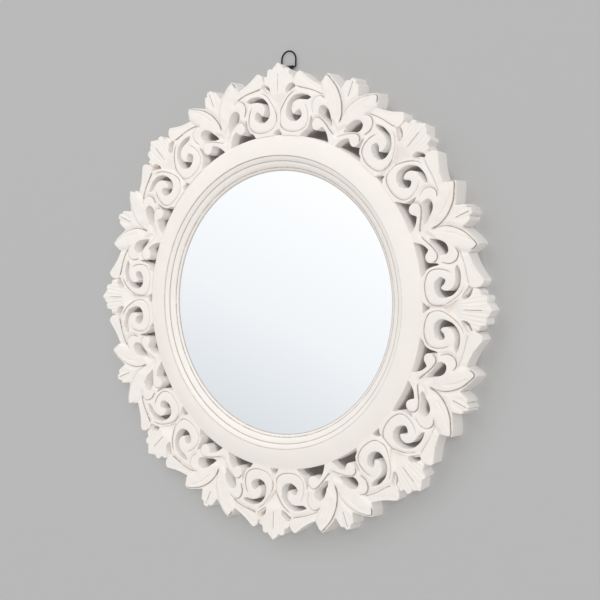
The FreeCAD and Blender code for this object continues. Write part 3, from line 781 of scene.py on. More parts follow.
def surface_points(loops, edges, sizes):
    """Points spread over the half segment: rows along edges and carved lines, and a grid between them."""
    batches = []
    for loop in loops:
        normal = outward(loop)
        batches += [(loop - normal * offset, edge_row_clearance_share * offset) for offset in edge_rows]
    lines = [curve(row[0], sizes.line_step) for row in carved_lines]
    lines += [closed_loop(ground[0], sizes.line_step) for ground in grounds]
    for line in lines:
        normal = left_of(np.gradient(line, axis=0))
        batches += [(line + normal * offset, line_row_clearance) for offset in line_rows]
    row_height = sizes.grid_step * math.sqrt(3) / 2
    low = loops[0].min(0)
    high = loops[0].max(0)
    grid = []
    for row, z in enumerate(np.arange(low[1], high[1], row_height)):
        x = np.arange(low[0] + (row % 2) * sizes.grid_step / 2, high[0], sizes.grid_step)
        grid.append(np.stack([x, np.full(len(x), z)], 1))
    batches.append((np.vstack(grid), grid_edge_clearance))
    kept = []
    for points, clearance in batches:
        points = points[in_timber(points, loops)]
        points = points[gap_to(points, edges) >= clearance]
        points = points[(joint_gap(points) > cut_clearance) & (points[:, 0] > cut_clearance)]
        if clearance == grid_edge_clearance:
            points = points[gap_to(points, lines) > grid_line_clearance]
        kept.append(points)
    points = np.vstack(kept)
    cells = np.round(points / point_gap).astype(int)
    return points[np.unique(cells, axis=0, return_index=True)[1]]


def triangulated(points, loops):
    """Triangles over points that keep every edge of the loops, inside the first and outside the rest."""
    edges = []
    first = 0
    for loop in loops:
        count = len(loop)
        edges += [(first + index, first + (index + 1) % count) for index in range(count)]
        first += count
    result = delaunay_2d_cdt([Vector(point) for point in points], edges, [], 0, tolerance)
    made = np.array([tuple(vertex) for vertex in result[0]])
    faces = np.array([face for face in result[2] if len(face) == 3])
    faces = faces[in_timber(made[faces].mean(1), loops)]
    a, b, c = made[faces[:, 0]], made[faces[:, 1]], made[faces[:, 2]]
    turn = (b[:, 0] - a[:, 0]) * (c[:, 1] - a[:, 1]) - (b[:, 1] - a[:, 1]) * (c[:, 0] - a[:, 0])
    faces[turn < 0] = faces[turn < 0][:, ::-1]
    return made, faces


def open_runs(loop, kinds):
    """The stretches of a loop that are free edges, as lines."""
    free = kinds == "edge"
    if free.all():
        return [np.vstack([loop, loop[:1]])]
    runs = []
    run = []
    start = int(np.argmin(free))
    for index in np.roll(np.arange(len(loop)), -start):
        if free[index]:
            run.append(index)
        elif run:
            runs.append(loop[run + [index]])
            run = []
    if run:
        runs.append(loop[run])
    return runs


def wall_rows(loop, kinds, flare, every_point, edge_depth):
    """Rows of points down the wall below a loop, as x and z, and their depths, one for each share."""
    normal = outward(loop)
    on_axis = np.abs(loop[:, 0]) < on_line_gap
    on_joint = np.abs(joint_gap(loop)) < on_line_gap
    for on_line, direction in ((on_axis, axis_direction), (on_joint, joint_direction)):
        amount = (normal[on_line] * direction).sum(1)
        normal[on_line] = np.sign(amount)[:, None] * direction
    flare = np.where(kinds == "cut", 0, flare)
    flare = np.where(on_axis | on_joint, np.maximum(np.roll(flare, 1), np.roll(flare, -1)), flare)
    room = free_width(loop, normal, every_point)
    even_room = softened(np.minimum(room, widest_room), room_neighbours)
    flare = np.minimum(softened(flare, flare_neighbours), flare_room_share * even_room)
    flare = np.minimum(flare, flare_limit_share * room)
    rows = []
    for step in wall_depth_shares:
        flat = leaned(loop + normal * (flare * step ** flare_power)[:, None], step)
        rows.append((flat, edge_depth + (timber_depth - edge_depth) * step))
    return rows


def inner_shade(fraction, pace=1.0):
    """Painted shade down an opening's wall: pale at first, dark near the back and paler on it."""
    fraction = np.asarray(fraction)
    darkening = ease((fraction * pace - shade_start_share) / shade_rise_share)
    return np.where(fraction > back_share, back_shade, wall_shade + (1 - wall_shade) * darkening)


def wall_values(flat, number, fraction):
    """Finish values of a row of points down a wall: worn at the very edge, and painted shade further back.
    """
    opening = (shares_of(flat)[1] < opening_height_share) | (number > 0)
    # Painted shade: an outer wall darkens fast at first and then slowly, an opening follows inner_shade
    outer = outer_shade * min(1.0, fraction * outer_shade_rise) + outer_shade_gain * fraction
    shade = np.where(opening, inner_shade(fraction, shade_paces[number]), outer)
    worn = np.full(len(flat), 1.0 if fraction == 0 else 0.0)
    return np.stack([np.zeros(len(flat)), worn, shade], 1)


def carved_half(sizes):
    """Points, faces and finish values of the half segment to the right of the fan's axis."""
    loops = half_loops(sizes.line_step)
    lines = [loop for loop, kinds, flare in loops]
    edges = [run for loop, kinds, flare in loops for run in open_runs(loop, kinds)]
    every_point = np.vstack(lines)
    made, faces = triangulated(np.vstack([every_point, surface_points(lines, edges, sizes)]), lines)
    depth, stain, worn = carve(made, edges, sizes)
    vertices = [np.stack([made[:, 0], front_y + depth, made[:, 1]], 1)]
    values = [np.stack([stain, worn, np.zeros(len(made))], 1)]
    face_list = [faces]
    total = len(made)
    back_loops = []
    for number, (loop, kinds, flare) in enumerate(loops):
        rows = wall_rows(loop, kinds, flare, every_point, carve(loop, edges, sizes)[0])
        back_loops.append(rows[-1][0])
        side = np.flatnonzero(kinds != "cut")
        following = (side + 1) % len(loop)
        for fraction, (flat, row_depth) in zip(wall_depth_shares, rows):
            below = total + len(loop)
            if fraction < 1:
                corners = [total + side, total + following, below + following, below + side]
                face_list.append(np.stack(corners, 1))
            vertices.append(np.stack([flat[:, 0], front_y + row_depth, flat[:, 1]], 1))
            values.append(wall_values(flat, number, fraction))
            total = below
    made, faces = triangulated(np.vstack(back_loops), back_loops)
    vertices.append(np.stack([made[:, 0], np.full(len(made), timber_back), made[:, 1]], 1))
    values.append(np.tile([0.0, 0.0, back_shade], (len(made), 1)))
    face_list.append(faces[:, ::-1] + total)
    return np.vstack(vertices), face_list, np.vstack(values)


def carved_segment_mesh(sizes):
    """Points, faces and finish values of a whole segment: the half and its mirror image."""
    points, face_list, values = carved_half(sizes)
    count = len(points)
    everything = np.vstack([points, points * np.array([-1, 1, 1])])
    cells = np.round(everything / seam_gap).astype(np.int64)
    first, back = np.unique(cells, axis=0, return_index=True, return_inverse=True)[1:]
    back = back.ravel()
    merged_values = np.zeros((len(first), 3))
    np.maximum.at(merged_values, back, np.vstack([values, values]))
    faces = []
    for block in face_list:
        for half in (block, block[:, ::-1] + count):
            faces += [tuple(face) for face in back[half] if len(set(face)) == len(face)]
    return everything[first], faces, merged_values


def uneven(points, number, amount):
    """Small drifts of a hand-carved piece, none at its joints and foot."""
    angle, height = shares_of(points[:, [0, 2]])
    window = np.clip(1 - angle ** 2, 0, 1) * np.clip(height * foot_fade, 0, 1)
    moved = points.copy()
    for axis, size in enumerate(drift_sizes):
        phase = piece_phase * number + axis_phase * axis
        across, along, turn = first_drift
        wave = np.sin(across * angle + phase) * np.cos(along * height + turn * phase)
        across, along, turn = second_drift
        second = np.sin(across * angle - turn * phase)
        wave += second_drift_height * second * np.sin(along * height + phase)
        if axis == 1:
            wave = wave * (1 - np.clip((points[:, 1] - front_y) / timber_depth, 0, 1))
        limit = np.clip((top_height_share - height) * top_fade, 0, 1) if axis == 2 else 1.0
        moved[:, axis] += amount * size * wave * window * limit
    return moved


def paint_values(obj, values):
    """Stores the finish values on a mesh: stain in lines, wear on edges, painted shade on sides."""
    colours = np.ones((len(values), 4), np.float32)
    colours[:, :3] = values
    layer = obj.data.attributes.new("carving", "FLOAT_COLOR", "POINT")
    layer.data.foreach_set("color", colours.ravel())


class MIRROR_OT_carving(bpy.types.Operator):
    """Carves the eight pierced segments of the border"""
    bl_idname = "mirror.carving"
    bl_label = "Carved segments"

    def execute(self, context):
        sizes = context.scene.carving_sizes
        points, faces, values = carved_segment_mesh(sizes)
        on_rim = np.hypot(points[:, 0], points[:, 2]) < rim_radius + foot_gap
        foot_scale = (rim_radius - foot_lap) / rim_radius
        points[on_rim] *= np.array([foot_scale, 1, foot_scale])
        for number in range(segment_count):
            name = "carved_segment_%d" % (number + 1)
            piece = mesh_object(name + "_carving", uneven(points, number, sizes.unevenness), [], faces)
            paint_values(piece, values)
            piece.data.transform(Matrix.Rotation(number * 2 * half_angle, 4, "Y"))
            dress(piece, paint_material(context), carving_crease)
            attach(piece, "root")
            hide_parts(name)
        return {"FINISHED"}


def bowed(start, end, crown, step):
    """Profile points of a shallow curve, bulging to the front, without its last point."""
    start, end = np.array(start), np.array(end)
    along = end - start
    length = np.hypot(*along)
    front = np.array([along[1], -along[0]]) / length
    front = front if front[1] < 0 else -front
    t = np.linspace(0, 1, max(2, round(length / step)) + 1)[:-1, None]
    return start + t * along + 4 * t * (1 - t) * crown * front


def turned(name, runs, steps):
    """Ring turned about the mirror's axis, from runs of first point (radius and depth), crown and step."""
    ends = runs[1:] + runs[:1]
    stretches = [bowed(start, end[0], crown, step) for (start, crown, step), end in zip(runs, ends)]
    points = [(0.0, front_y + depth, radius) for radius, depth in np.vstack(stretches)]
    edges = [(index, (index + 1) % len(points)) for index in range(len(points))]
    ring = mesh_object(name, points, edges, [])
    pick(ring)
    bpy.ops.object.mode_set(mode="EDIT")
    bpy.ops.mesh.select_all(action="SELECT")
    bpy.ops.mesh.spin(steps=steps, angle=2 * math.pi, center=(0, 0, 0), axis=(0, 1, 0))
    bpy.ops.mesh.select_all(action="SELECT")
    bpy.ops.mesh.remove_doubles(threshold=spin_gap)
    bpy.ops.mesh.normals_make_consistent(inside=False)
    bpy.ops.object.mode_set(mode="OBJECT")
    return ring


def sway(ring, amount):
    """Slight waviness of a hand-turned and painted ring, pressed back from its full size."""
    points = coordinates(ring)
    angle = np.arctan2(points[:, 0], points[:, 2])
    radius = np.hypot(points[:, 0], points[:, 2])
    wave = sum(height * np.sin(count * angle + phase + turn * radius)
               for count, height, phase, turn in ring_waves)
    highest = sum(row[1] for row in ring_waves)
    front = np.clip(1 - (points[:, 1] - front_y) / sway_depth, 0, 1)
    points[:, 1] += amount * front * (wave + highest) / (2 * highest)
    ring.data.vertices.foreach_set("co", points.ravel())
    ring.data.update()


def ring_finish(ring, grooves, edges, ledges=()):
    """Stain in a ring's grooves, painted shade down its sides and on ledges, and wear along its edges."""
    points = coordinates(ring)
    section = np.stack([np.hypot(points[:, 0], points[:, 2]), points[:, 1] - front_y], 1)
    angle = np.arctan2(points[:, 0], points[:, 2])
    left = 0.5 - 0.5 * np.sin(angle + left_phase)
    dashes = np.prod([np.sin(count * angle + phase) for count, phase in dash_waves], axis=0) / 2 + 0.5
    values = np.zeros((len(points), 3))
    for spot, (width, strength, left_share, dashed) in grooves:
        gap = np.hypot(*(section - spot).T)
        amount = strength * (1 - left_share + left_share * left) * (1 - dashed * dashes)
        values[:, 0] = np.maximum(values[:, 0], amount * np.exp(-(gap / (width * MM)) ** 2))
    for spot, width in edges:
        gap = np.hypot(*(section - spot).T)
        values[:, 1] = np.maximum(values[:, 1], np.clip(1 - gap / width, 0, 1))
    # Painted shade down the rings' sides, none on their front
    values[:, 2] = inner_shade(np.clip(section[:, 1] / timber_depth, 0, 1)) - wall_shade
    # Painted shade on the ledge at the glass
    for spot, width, strength in ledges:
        gap = np.hypot(*(section - spot).T)
        values[:, 2] = np.maximum(values[:, 2], strength * np.clip(ledge_core - gap / width, 0, 1))
    paint_values(ring, values)


class MIRROR_OT_band(bpy.types.Operator):
    """Turns the smooth band that the carved segments are set on"""
    bl_idname = "mirror.band"
    bl_label = "Smooth band"

    def execute(self, context):
        sizes = context.scene.ring_sizes
        inner_edge = (band_inner_radius, front_gap + sizes.band_edge)
        crest = (band_inner_radius + sizes.band_edge, front_gap)
        rim = (rim_radius - sizes.rim_round, sizes.rim_depth)
        side = (rim_radius, sizes.rim_depth + sizes.rim_round)
        back_edge = (rim_radius, back_edge_share * timber_depth)
        ring = turned("smooth_band", [
            (inner_edge, edge_crown_share * sizes.band_edge, edge_step),
            (crest, sizes.band_crown, crown_step),
            (rim, rim_crown_share * sizes.rim_round, rim_step), (side, 0.0, side_step),
            (back_edge, 0.0, corner_step), ((rim_radius, timber_depth), 0.0, band_back_step),
            ((band_inner_radius, timber_depth), 0.0, band_back_step)], sizes.turning_steps)
        sway(ring, band_sway)
        ring_finish(ring, [(inner_edge, band_stain)], [(crest, crest_wear)])
        dress(ring, paint_material(context), band_crease)
        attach(ring, "root")
        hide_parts("band_ring")
        return {"FINISHED"}


class MIRROR_OT_moulding(bpy.types.Operator):
    """Turns the reeded moulding with its two beads and the lip over the glass"""
    bl_idname = "mirror.moulding"
    bl_label = "Reeded moulding"

    def execute(self, context):
        sizes = context.scene.ring_sizes
        outer = band_inner_radius
        shoulder = (outer, sizes.groove_depth + sizes.groove_width)
        outer_groove = (outer - sizes.groove_width, sizes.groove_depth)
        middle_groove = (outer_groove[0] - sizes.outer_bead, outer_groove[1] + sizes.outer_bead_drop)
        inner_groove = (middle_groove[0] - sizes.inner_bead, middle_groove[1] + sizes.inner_bead_drop)
        glass_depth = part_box("mirror_glass")[0].y - front_y
        sight_front = (sight_radius, glass_depth - sizes.lip_edge)
        sight_back = (sight_radius - sizes.lip_ledge, glass_depth - ledge_lift)
        rebate = (sight_radius + sizes.rebate, glass_depth)
        ring = turned("reeded_moulding", [
            (shoulder, 0.0, bead_step), (outer_groove, sizes.bead_crown * sizes.outer_bead, bead_step),
            (middle_groove, sizes.bead_crown * sizes.inner_bead, bead_step),
            (inner_groove, sizes.lip_crown, bead_step), (sight_front, 0.0, bead_step),
            (sight_back, 0.0, bead_step), ((sight_back[0], glass_depth), 0.0, side_step),
            (rebate, 0.0, side_step), ((rebate[0], moulding_back), 0.0, moulding_back_step),
            ((outer, moulding_back), 0.0, moulding_side_step)], sizes.turning_steps)
        sway(ring, moulding_sway)
        ledge = ((sight_front[0] + sight_back[0]) / 2, (sight_front[1] + sight_back[1]) / 2)
        # The ledge at the glass gets a painted shadow and reflection, and painted shade
        ring_finish(ring, [(outer_groove, outer_groove_stain), (middle_groove, middle_groove_stain),
                           (inner_groove, inner_groove_stain), (ledge, ledge_shadow_and_reflection)],
                    [(inner_groove, groove_wear), (ledge, ledge_wear)],
                    [(ledge, ledge_width, ledge_painted_shade)])
        dress(ring, paint_material(context), moulding_crease)
        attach(ring, "root")
        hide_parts("moulding_ring")
        return {"FINISHED"}


class MIRROR_OT_hanger(bpy.types.Operator):
    """Bends the black wire ring that the mirror hangs by"""
    bl_idname = "mirror.hanger"
    bl_label = "Hanger ring"

    def execute(self, context):
        low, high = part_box("hanger_ring")
        wire = (high.y - low.y) / 2
        centre = (low.x + high.x) / 2
        half = (high.x - low.x) / 2 - wire
        foot = low.z + wire
        spring = high.z - wire - half
        corner = context.scene.ring_sizes.wire_corner
        route = [(half * math.cos(turn), spring + half * math.sin(turn))
                 for turn in np.linspace(0, math.pi, loop_steps + 1)]
        for side, first in ((-1, math.pi), (1, 1.5 * math.pi)):
            middle = (side * (half - corner), foot + corner)
            route += [(middle[0] + corner * math.cos(turn), middle[1] + corner * math.sin(turn))
                      for turn in np.linspace(first, first + math.pi / 2, corner_steps + 1)]
        path = bpy.data.curves.new("hanger_wire", "CURVE")
        path.dimensions = "3D"
        path.bevel_depth = wire
        path.bevel_resolution = wire_roundness
        spline = path.splines.new("POLY")
        spline.points.add(len(route) - 1)
        for point, (across, height) in zip(spline.points, route):
            point.co = (centre + across, (low.y + high.y) / 2, height, 1)
        spline.use_cyclic_u = True
        ring = bpy.data.objects.new("hanger_wire", path)
        context.scene.collection.objects.link(ring)
        pick(ring)
        bpy.ops.object.convert(target="MESH")
        ring = context.object
        dress(ring, black_steel_material(), wire_crease)
        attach(ring, "ring")
        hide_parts("hanger_ring")
        return {"FINISHED"}


class MIRROR_OT_finishes(bpy.types.Operator):
    """Gives the glass, the back and the fasteners their finishes"""
    bl_idname = "mirror.finishes"
    bl_label = "Glass, back and fasteners"

    def execute(self, context):
        finishes = {
            "mirror_glass": silvered_glass_material(), "backing_card": card_material(),
            "backboard": board_material(), "backboard_screws": zinc_material(),
            "hanger_screws": zinc_material(), "hanger_strap": black_steel_material(),
            "wall_bumpers": rubber_material(), "segment_dowels": beech_material(),
            "band_dowels": beech_material()}
        for name, material in finishes.items():
            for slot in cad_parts[name].material_slots:
                slot.material = material
        return {"FINISHED"}


def node(tree, kind, **values):
    """Adds a node, with its properties and its sockets' values set."""
    made = tree.nodes.new(kind)
    for name, value in values.items():
        if hasattr(made, name):
            setattr(made, name, value)
        else:
            made.inputs[name.replace("_", " ")].default_value = value
    return made


def link(tree, source, target):
    """Links two sockets."""
    tree.links.new(source, target)


def noise(tree, source, scale, detail=3.0):
    """Noise on Object coordinates, between 0 and 1, with its scale per metre."""
    made = node(tree, "ShaderNodeTexNoise", Scale=scale, Detail=detail)
    link(tree, source, made.inputs["Vector"])
    return made.outputs["Fac"]


def ramp(tree, source, low, high):
    """Straight rise from 0 at low to 1 at high."""
    made = node(tree, "ShaderNodeMapRange", From_Min=low, From_Max=high)
    link(tree, source, made.inputs["Value"])
    return made.outputs["Result"]


def patches(tree, source, scale, low, high, detail=3.0):
    """Patches of noise: 0 where it is below low and 1 where it is above high."""
    return ramp(tree, noise(tree, source, scale, detail), low, high)


def times(tree, first, second):
    """Product of two values."""
    made = node(tree, "ShaderNodeMath", operation="MULTIPLY")
    for socket, value in zip(made.inputs, (first, second)):
        if isinstance(value, (int, float)):
            socket.default_value = value
        else:
            link(tree, value, socket)
    return made.outputs[0]


def larger(tree, first, second):
    """The larger of two values."""
    made = node(tree, "ShaderNodeMath", operation="MAXIMUM")
    link(tree, first, made.inputs[0])
    link(tree, second, made.inputs[1])
    return made.outputs[0]


def blend(tree, amount, first, second):
    """Mix of two colours."""
    made = node(tree, "ShaderNodeMix", data_type="RGBA")
    link(tree, amount, made.inputs["Factor"])
    for socket, value in zip((made.inputs[6], made.inputs[7]), (first, second)):
        if isinstance(value, bpy.types.NodeSocket):
            link(tree, value, socket)
        else:
            socket.default_value = value
    return made.outputs[2]


def mixed_shader(tree, amount, first, second):
    """Mix of two shaders."""
    made = node(tree, "ShaderNodeMixShader")
    for socket, source in zip(made.inputs, (amount, first, second)):
        link(tree, source, socket)
    return made.outputs[0]


def darker(colour, share):
    """A share of a colour, or of each of its channels."""
    return tuple(np.multiply(colour[:3], share)) + (1.0,)


def new_material(name):
    """Empty principled material, with its tree and shader."""
    material = bpy.data.materials.new(name)
    material.use_nodes = True
    tree = material.node_tree
    return material, tree, tree.nodes["Principled BSDF"]


def made_once(name, recipe):
    """The material of that name, made by its recipe the first time."""
    if name not in bpy.data.materials:
        material, tree, shader = new_material(name)
        recipe(tree, shader, node(tree, "ShaderNodeTexCoord").outputs["Object"])
    return bpy.data.materials[name]


def two_tone(tree, shader, amount, first, second):
    """Base colour that goes from one colour to another."""
    link(tree, blend(tree, amount, first, second), shader.inputs["Base Color"])


def rough_between(tree, shader, source, low, high):
    """Roughness that wanders between two values."""
    rough = node(tree, "ShaderNodeMapRange", To_Min=low, To_Max=high)
    link(tree, source, rough.inputs["Value"])
    link(tree, rough.outputs["Result"], shader.inputs["Roughness"])


def bumped(tree, shader, source, strength, distance):
    """Fine relief from a value."""
    bump = node(tree, "ShaderNodeBump", Strength=strength, Distance=distance)
    link(tree, source, bump.inputs["Height"])
    link(tree, bump.outputs["Normal"], shader.inputs["Normal"])


def paint_material(context):
    """Chalky white paint, worn on edges, stained brown in carved lines, with painted shade down the walls.
    """
    colours = context.scene.finish_colours

    def recipe(tree, shader, spot):
        parts = node(tree, "ShaderNodeSeparateColor")
        carving = node(tree, "ShaderNodeAttribute", attribute_name="carving")
        link(tree, carving.outputs["Color"], parts.inputs["Color"])
        # The third value is the painted shade down the walls
        stain, wear, side = parts.outputs
        paint = tuple(colours.paint)
        colour = blend(tree, patches(tree, spot, 22.0, 0.35, 0.70), paint, darker(paint, 0.975))
        # Painted shade: greyer paint on every wall, then the dark colour deeper in, where shade falls
        colour = blend(tree, ramp(tree, side, 0.0, wall_shade), colour, tuple(colours.painted_side_shade))
        colour = blend(tree, side, colour, tuple(colours.shade))
        rubbed = times(tree, wear, patches(tree, spot, 130.0, 0.56, 0.70, 5.0))
        colour = blend(tree, times(tree, rubbed, 0.55), colour, tuple(colours.bare))
        reddish = times(tree, patches(tree, spot, 13.0, 0.50, 0.66, 2.0), 0.65)
        brown = blend(tree, reddish, tuple(colours.line), darker(colours.bare, 0.5))
        broken = times(tree, stain, patches(tree, spot, 90.0, 0.12, 0.45))
        two_tone(tree, shader, times(tree, broken, 0.88), colour, brown)
        rough_between(tree, shader, noise(tree, spot, 120.0), 0.52, 0.72)
        bumped(tree, shader, noise(tree, spot, 260.0, 5.0), 0.35, paint_relief)
    return made_once("chalk_paint", recipe)


def silvered_glass_material():
    """Polished silvered glass with a trace of dust."""
    def recipe(tree, shader, spot):
        shader.inputs["Metallic"].default_value = 1.0
        clear, dusty = (0.985, 0.99, 0.995, 1), (0.965, 0.972, 0.98, 1)
        two_tone(tree, shader, patches(tree, spot, 5.0, 0.35, 0.75, 2.0), clear, dusty)
        rough_between(tree, shader, noise(tree, spot, 9.0, 2.0), 0.012, 0.03)
    return made_once("silvered_glass", recipe)


def card_material():
    """Grey recycled card with pale and dark fibres."""
    def recipe(tree, shader, spot):
        fibres = patches(tree, spot, 900.0, 0.35, 0.65, 5.0)
        dark, pale = (0.34, 0.33, 0.31, 1), (0.46, 0.45, 0.42, 1)
        two_tone(tree, shader, fibres, dark, pale)
        rough_between(tree, shader, fibres, 0.8, 0.95)
        bumped(tree, shader, fibres, 0.3, card_relief)
    return made_once("grey_card", recipe)


def board_material():
    """Smooth brown hardboard with matted fibres and darker clouds."""
    def recipe(tree, shader, spot):
        fibres = patches(tree, spot, 420.0, 0.30, 0.70, 6.0)
        clouds = patches(tree, spot, 14.0, 0.30, 0.75, 4.0)
        brown, tan, cloud = (0.22, 0.125, 0.065, 1), (0.36, 0.225, 0.125, 1), (0.17, 0.09, 0.045, 1)
        two_tone(tree, shader, times(tree, clouds, 0.35), blend(tree, fibres, brown, tan), cloud)
        rough_between(tree, shader, fibres, 0.42, 0.62)
        bumped(tree, shader, fibres, 0.25, board_relief)
    return made_once("hardboard", recipe)


def zinc_material():
    """Zinc plate with faint brushing and a warm tint in places."""
    def recipe(tree, shader, spot):
        shader.inputs["Metallic"].default_value = 1.0
        cool, warm = (0.66, 0.67, 0.68, 1), (0.60, 0.58, 0.52, 1)
        two_tone(tree, shader, patches(tree, spot, 160.0, 0.40, 0.70), cool, warm)
        rough_between(tree, shader, noise(tree, spot, 700.0), 0.24, 0.42)
    return made_once("zinc_plate", recipe)


def black_steel_material():
    """Black lacquer on steel, rubbed thin in places."""
    def recipe(tree, shader, spot):
        rubbed = times(tree, patches(tree, spot, 240.0, 0.62, 0.74, 4.0), 0.5)
        two_tone(tree, shader, rubbed, (0.012, 0.012, 0.013, 1), (0.07, 0.065, 0.06, 1))
        rough_between(tree, shader, noise(tree, spot, 420.0), 0.22, 0.38)
        shader.inputs["Specular IOR Level"].default_value = 0.25
        bumped(tree, shader, noise(tree, spot, 900.0, 2.0), 0.12, lacquer_relief)
    return made_once("black_lacquer", recipe)


def rubber_material():
    """Matt black rubber with a dusty bloom."""
    def recipe(tree, shader, spot):
        bloom = patches(tree, spot, 350.0, 0.35, 0.70, 4.0)
        two_tone(tree, shader, bloom, (0.035, 0.035, 0.035, 1), (0.075, 0.073, 0.07, 1))
        rough_between(tree, shader, bloom, 0.72, 0.92)
    return made_once("bumper_rubber", recipe)


def beech_material():
    """Bare beech with short darker flecks."""
    def recipe(tree, shader, spot):
        flecks = patches(tree, spot, 520.0, 0.52, 0.66, 2.0)
        two_tone(tree, shader, flecks, (0.62, 0.42, 0.26, 1), (0.45, 0.27, 0.15, 1))
        rough_between(tree, shader, flecks, 0.5, 0.65)
    return made_once("beech", recipe)


class MIRROR_OT_stage(bpy.types.Operator):
    """Sets up the wall, floor, lamps and camera"""
    bl_idname = "mirror.stage"
    bl_label = "Stage"

    def execute(self, context):
        wall_and_floor(context)
        lamps(context)
        world_light(context)
        camera(context)
        return {"FINISHED"}


def wall_and_floor(context):
    """Grey wall that is seen from the front only, and a pale floor below."""
    colours = context.scene.finish_colours
    deselect()
    upright = (math.pi / 2, 0, 0)
    bpy.ops.mesh.primitive_plane_add(size=stage_size, location=(0, wall_gap, 0), rotation=upright)
    wall = context.object
    wall.name = "wall"
    bpy.ops.mesh.primitive_plane_add(size=stage_size, location=(0, 0, floor_height))
    floor = context.object
    floor.name = "floor"
    for surface, colour in ((wall, colours.wall), (floor, colours.floor)):
        settle(surface)
        material, tree, shader = new_material(surface.name + "_paint")
        shader.inputs["Base Color"].default_value = colour
        shader.inputs["Roughness"].default_value = 0.9
        shader.inputs["Specular IOR Level"].default_value = 0.0
        surface.data.materials.append(material)
    one_sided(wall.data.materials[0], colours.wall)


def one_sided(material, colour):
    """Wall clear from behind and to lamps, with painted shadow behind the frame, even far out and lighting
    its back.
    """
    tree = material.node_tree
    shader = tree.nodes["Principled BSDF"]
    rays = node(tree, "ShaderNodeLightPath")
    backfacing = node(tree, "ShaderNodeNewGeometry").outputs["Backfacing"]
    clear = larger(tree, backfacing, rays.outputs["Is Shadow Ray"])
    length = node(tree, "ShaderNodeVectorMath", operation="LENGTH")
    link(tree, node(tree, "ShaderNodeTexCoord").outputs["Object"], length.inputs[0])
    radius = length.outputs["Value"]
    # Painted shadow on the wall behind the frame
    two_tone(tree, shader, ramp(tree, radius, *painted_shadow_end), darker(colour, painted_shadow), tuple(colour))
    even = times(tree, ramp(tree, radius, *even_wall_start), even_wall_share)
    glow = node(tree, "ShaderNodeMix")
    sources = (rays.outputs["Is Camera Ray"], ramp(tree, radius, *back_light_end), even)
    for socket, source in zip((0, 2, 3), sources):
        link(tree, source, glow.inputs[socket])
    lit = node(tree, "ShaderNodeEmission", Color=colour, Strength=1.0)
    paint = mixed_shader(tree, glow.outputs[0], shader.outputs[0], lit.outputs[0])
    nothing = node(tree, "ShaderNodeBsdfTransparent").outputs[0]
    surface = mixed_shader(tree, clear, paint, nothing)
    link(tree, surface, tree.nodes["Material Output"].inputs["Surface"])


def lamps(context):
    """Soft key light from the right, a large lamp above, and a broad light for the back."""
    for name, kind, spot, size, power in lamp_rows:
        deselect()
        bpy.ops.object.light_add(type=kind, location=spot)
        lamp = context.object
        lamp.name = name
        lamp.data.energy = power
        if kind == "SUN":
            lamp.data.angle = size
        else:
            lamp.data.size = size
        lamp.rotation_mode = "QUATERNION"
        lamp.rotation_quaternion = (-Vector(spot)).to_track_quat("-Z", "Y")
        lamp.visible_glossy = name == "back"
        lamp.visible_camera = False


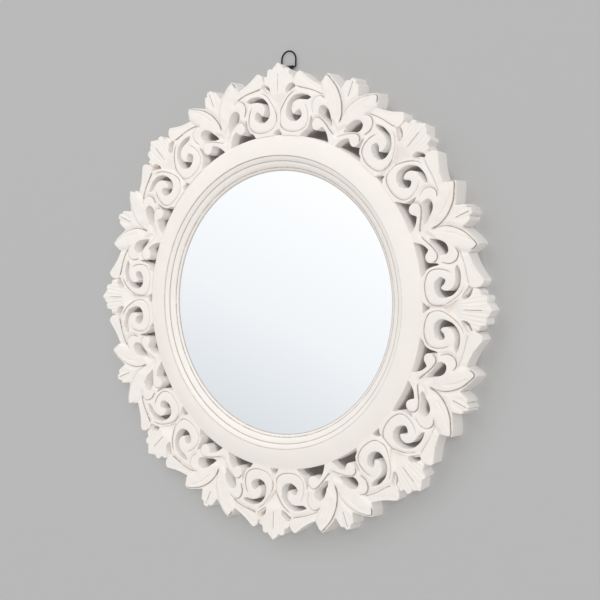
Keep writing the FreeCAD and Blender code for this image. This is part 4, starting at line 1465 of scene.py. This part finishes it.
def world_light(context):
    """Even light from the room, brighter from above, and the pale room that glass and metal reflect."""
    world = bpy.data.worlds.new("room")
    context.scene.world = world
    world.use_nodes = True
    tree = world.node_tree
    axes = node(tree, "ShaderNodeSeparateXYZ")
    link(tree, node(tree, "ShaderNodeTexCoord").outputs["Generated"], axes.inputs[0])
    rise = node(tree, "ShaderNodeMath", operation="MULTIPLY_ADD")
    link(tree, axes.outputs["X"], rise.inputs[0])
    rise.inputs[1].default_value = room_tilt
    link(tree, axes.outputs["Z"], rise.inputs[2])
    low, middle, high = (0.71, 0.735, 0.755, 1), (0.955, 0.965, 0.975, 1), (1.09, 1.08, 1.07, 1)
    room = blend(tree, ramp(tree, rise.outputs[0], *low_band), low, middle)
    room = blend(tree, ramp(tree, rise.outputs[0], *high_band), room, high)
    rays = node(tree, "ShaderNodeLightPath")
    seen = larger(tree, rays.outputs["Is Camera Ray"], rays.outputs["Is Glossy Ray"])
    dim, bright = (0.69, 0.69, 0.69, 1), (0.80, 0.80, 0.80, 1)
    dome = blend(tree, ramp(tree, axes.outputs["Z"], *dome_band), dim, bright)
    link(tree, blend(tree, seen, dome, room), tree.nodes["Background"].inputs["Color"])


def camera(context):
    """Camera at the photograph's place and angle."""
    bpy.ops.object.camera_add(location=camera_spot)
    made = context.object
    made.name = "camera"
    made.data.lens = camera_lens
    made.data.sensor_width = camera_sensor
    made.rotation_mode = "QUATERNION"
    look = (camera_aim - camera_spot).to_track_quat("-Z", "Y")
    made.rotation_quaternion = look @ Quaternion((0, 0, 1), camera_roll)
    context.scene.camera = made


class MIRROR_PT_panel(bpy.types.Panel):
    """Buttons for each piece of the mirror"""
    bl_idname = "MIRROR_PT_panel"
    bl_label = "Round mirror"
    bl_space_type = "VIEW_3D"
    bl_region_type = "UI"
    bl_category = "Mirror"

    def draw(self, context):
        for operator in operators:
            self.layout.operator(operator.bl_idname)


operators = [MIRROR_OT_carving, MIRROR_OT_band, MIRROR_OT_moulding, MIRROR_OT_hanger, MIRROR_OT_finishes,
             MIRROR_OT_stage]
classes = [CarvingSizes, RingSizes, FinishColours, *operators, MIRROR_PT_panel]


def register():
    """Registers the classes and the scene's settings."""
    for item in classes:
        bpy.utils.register_class(item)
    bpy.types.Scene.carving_sizes = bpy.props.PointerProperty(type=CarvingSizes)
    bpy.types.Scene.ring_sizes = bpy.props.PointerProperty(type=RingSizes)
    bpy.types.Scene.finish_colours = bpy.props.PointerProperty(type=FinishColours)


def unregister():
    """Removes them again."""
    del bpy.types.Scene.finish_colours
    del bpy.types.Scene.ring_sizes
    del bpy.types.Scene.carving_sizes
    for item in reversed(classes):
        bpy.utils.unregister_class(item)


def main():
    """Builds every piece in order."""
    register()
    bpy.context.scene.view_settings.view_transform = "Standard"
    bpy.ops.mirror.carving()
    bpy.ops.mirror.band()
    bpy.ops.mirror.moulding()
    bpy.ops.mirror.hanger()
    bpy.ops.mirror.finishes()
    bpy.ops.mirror.stage()


if __name__ == "__main__":
    main()
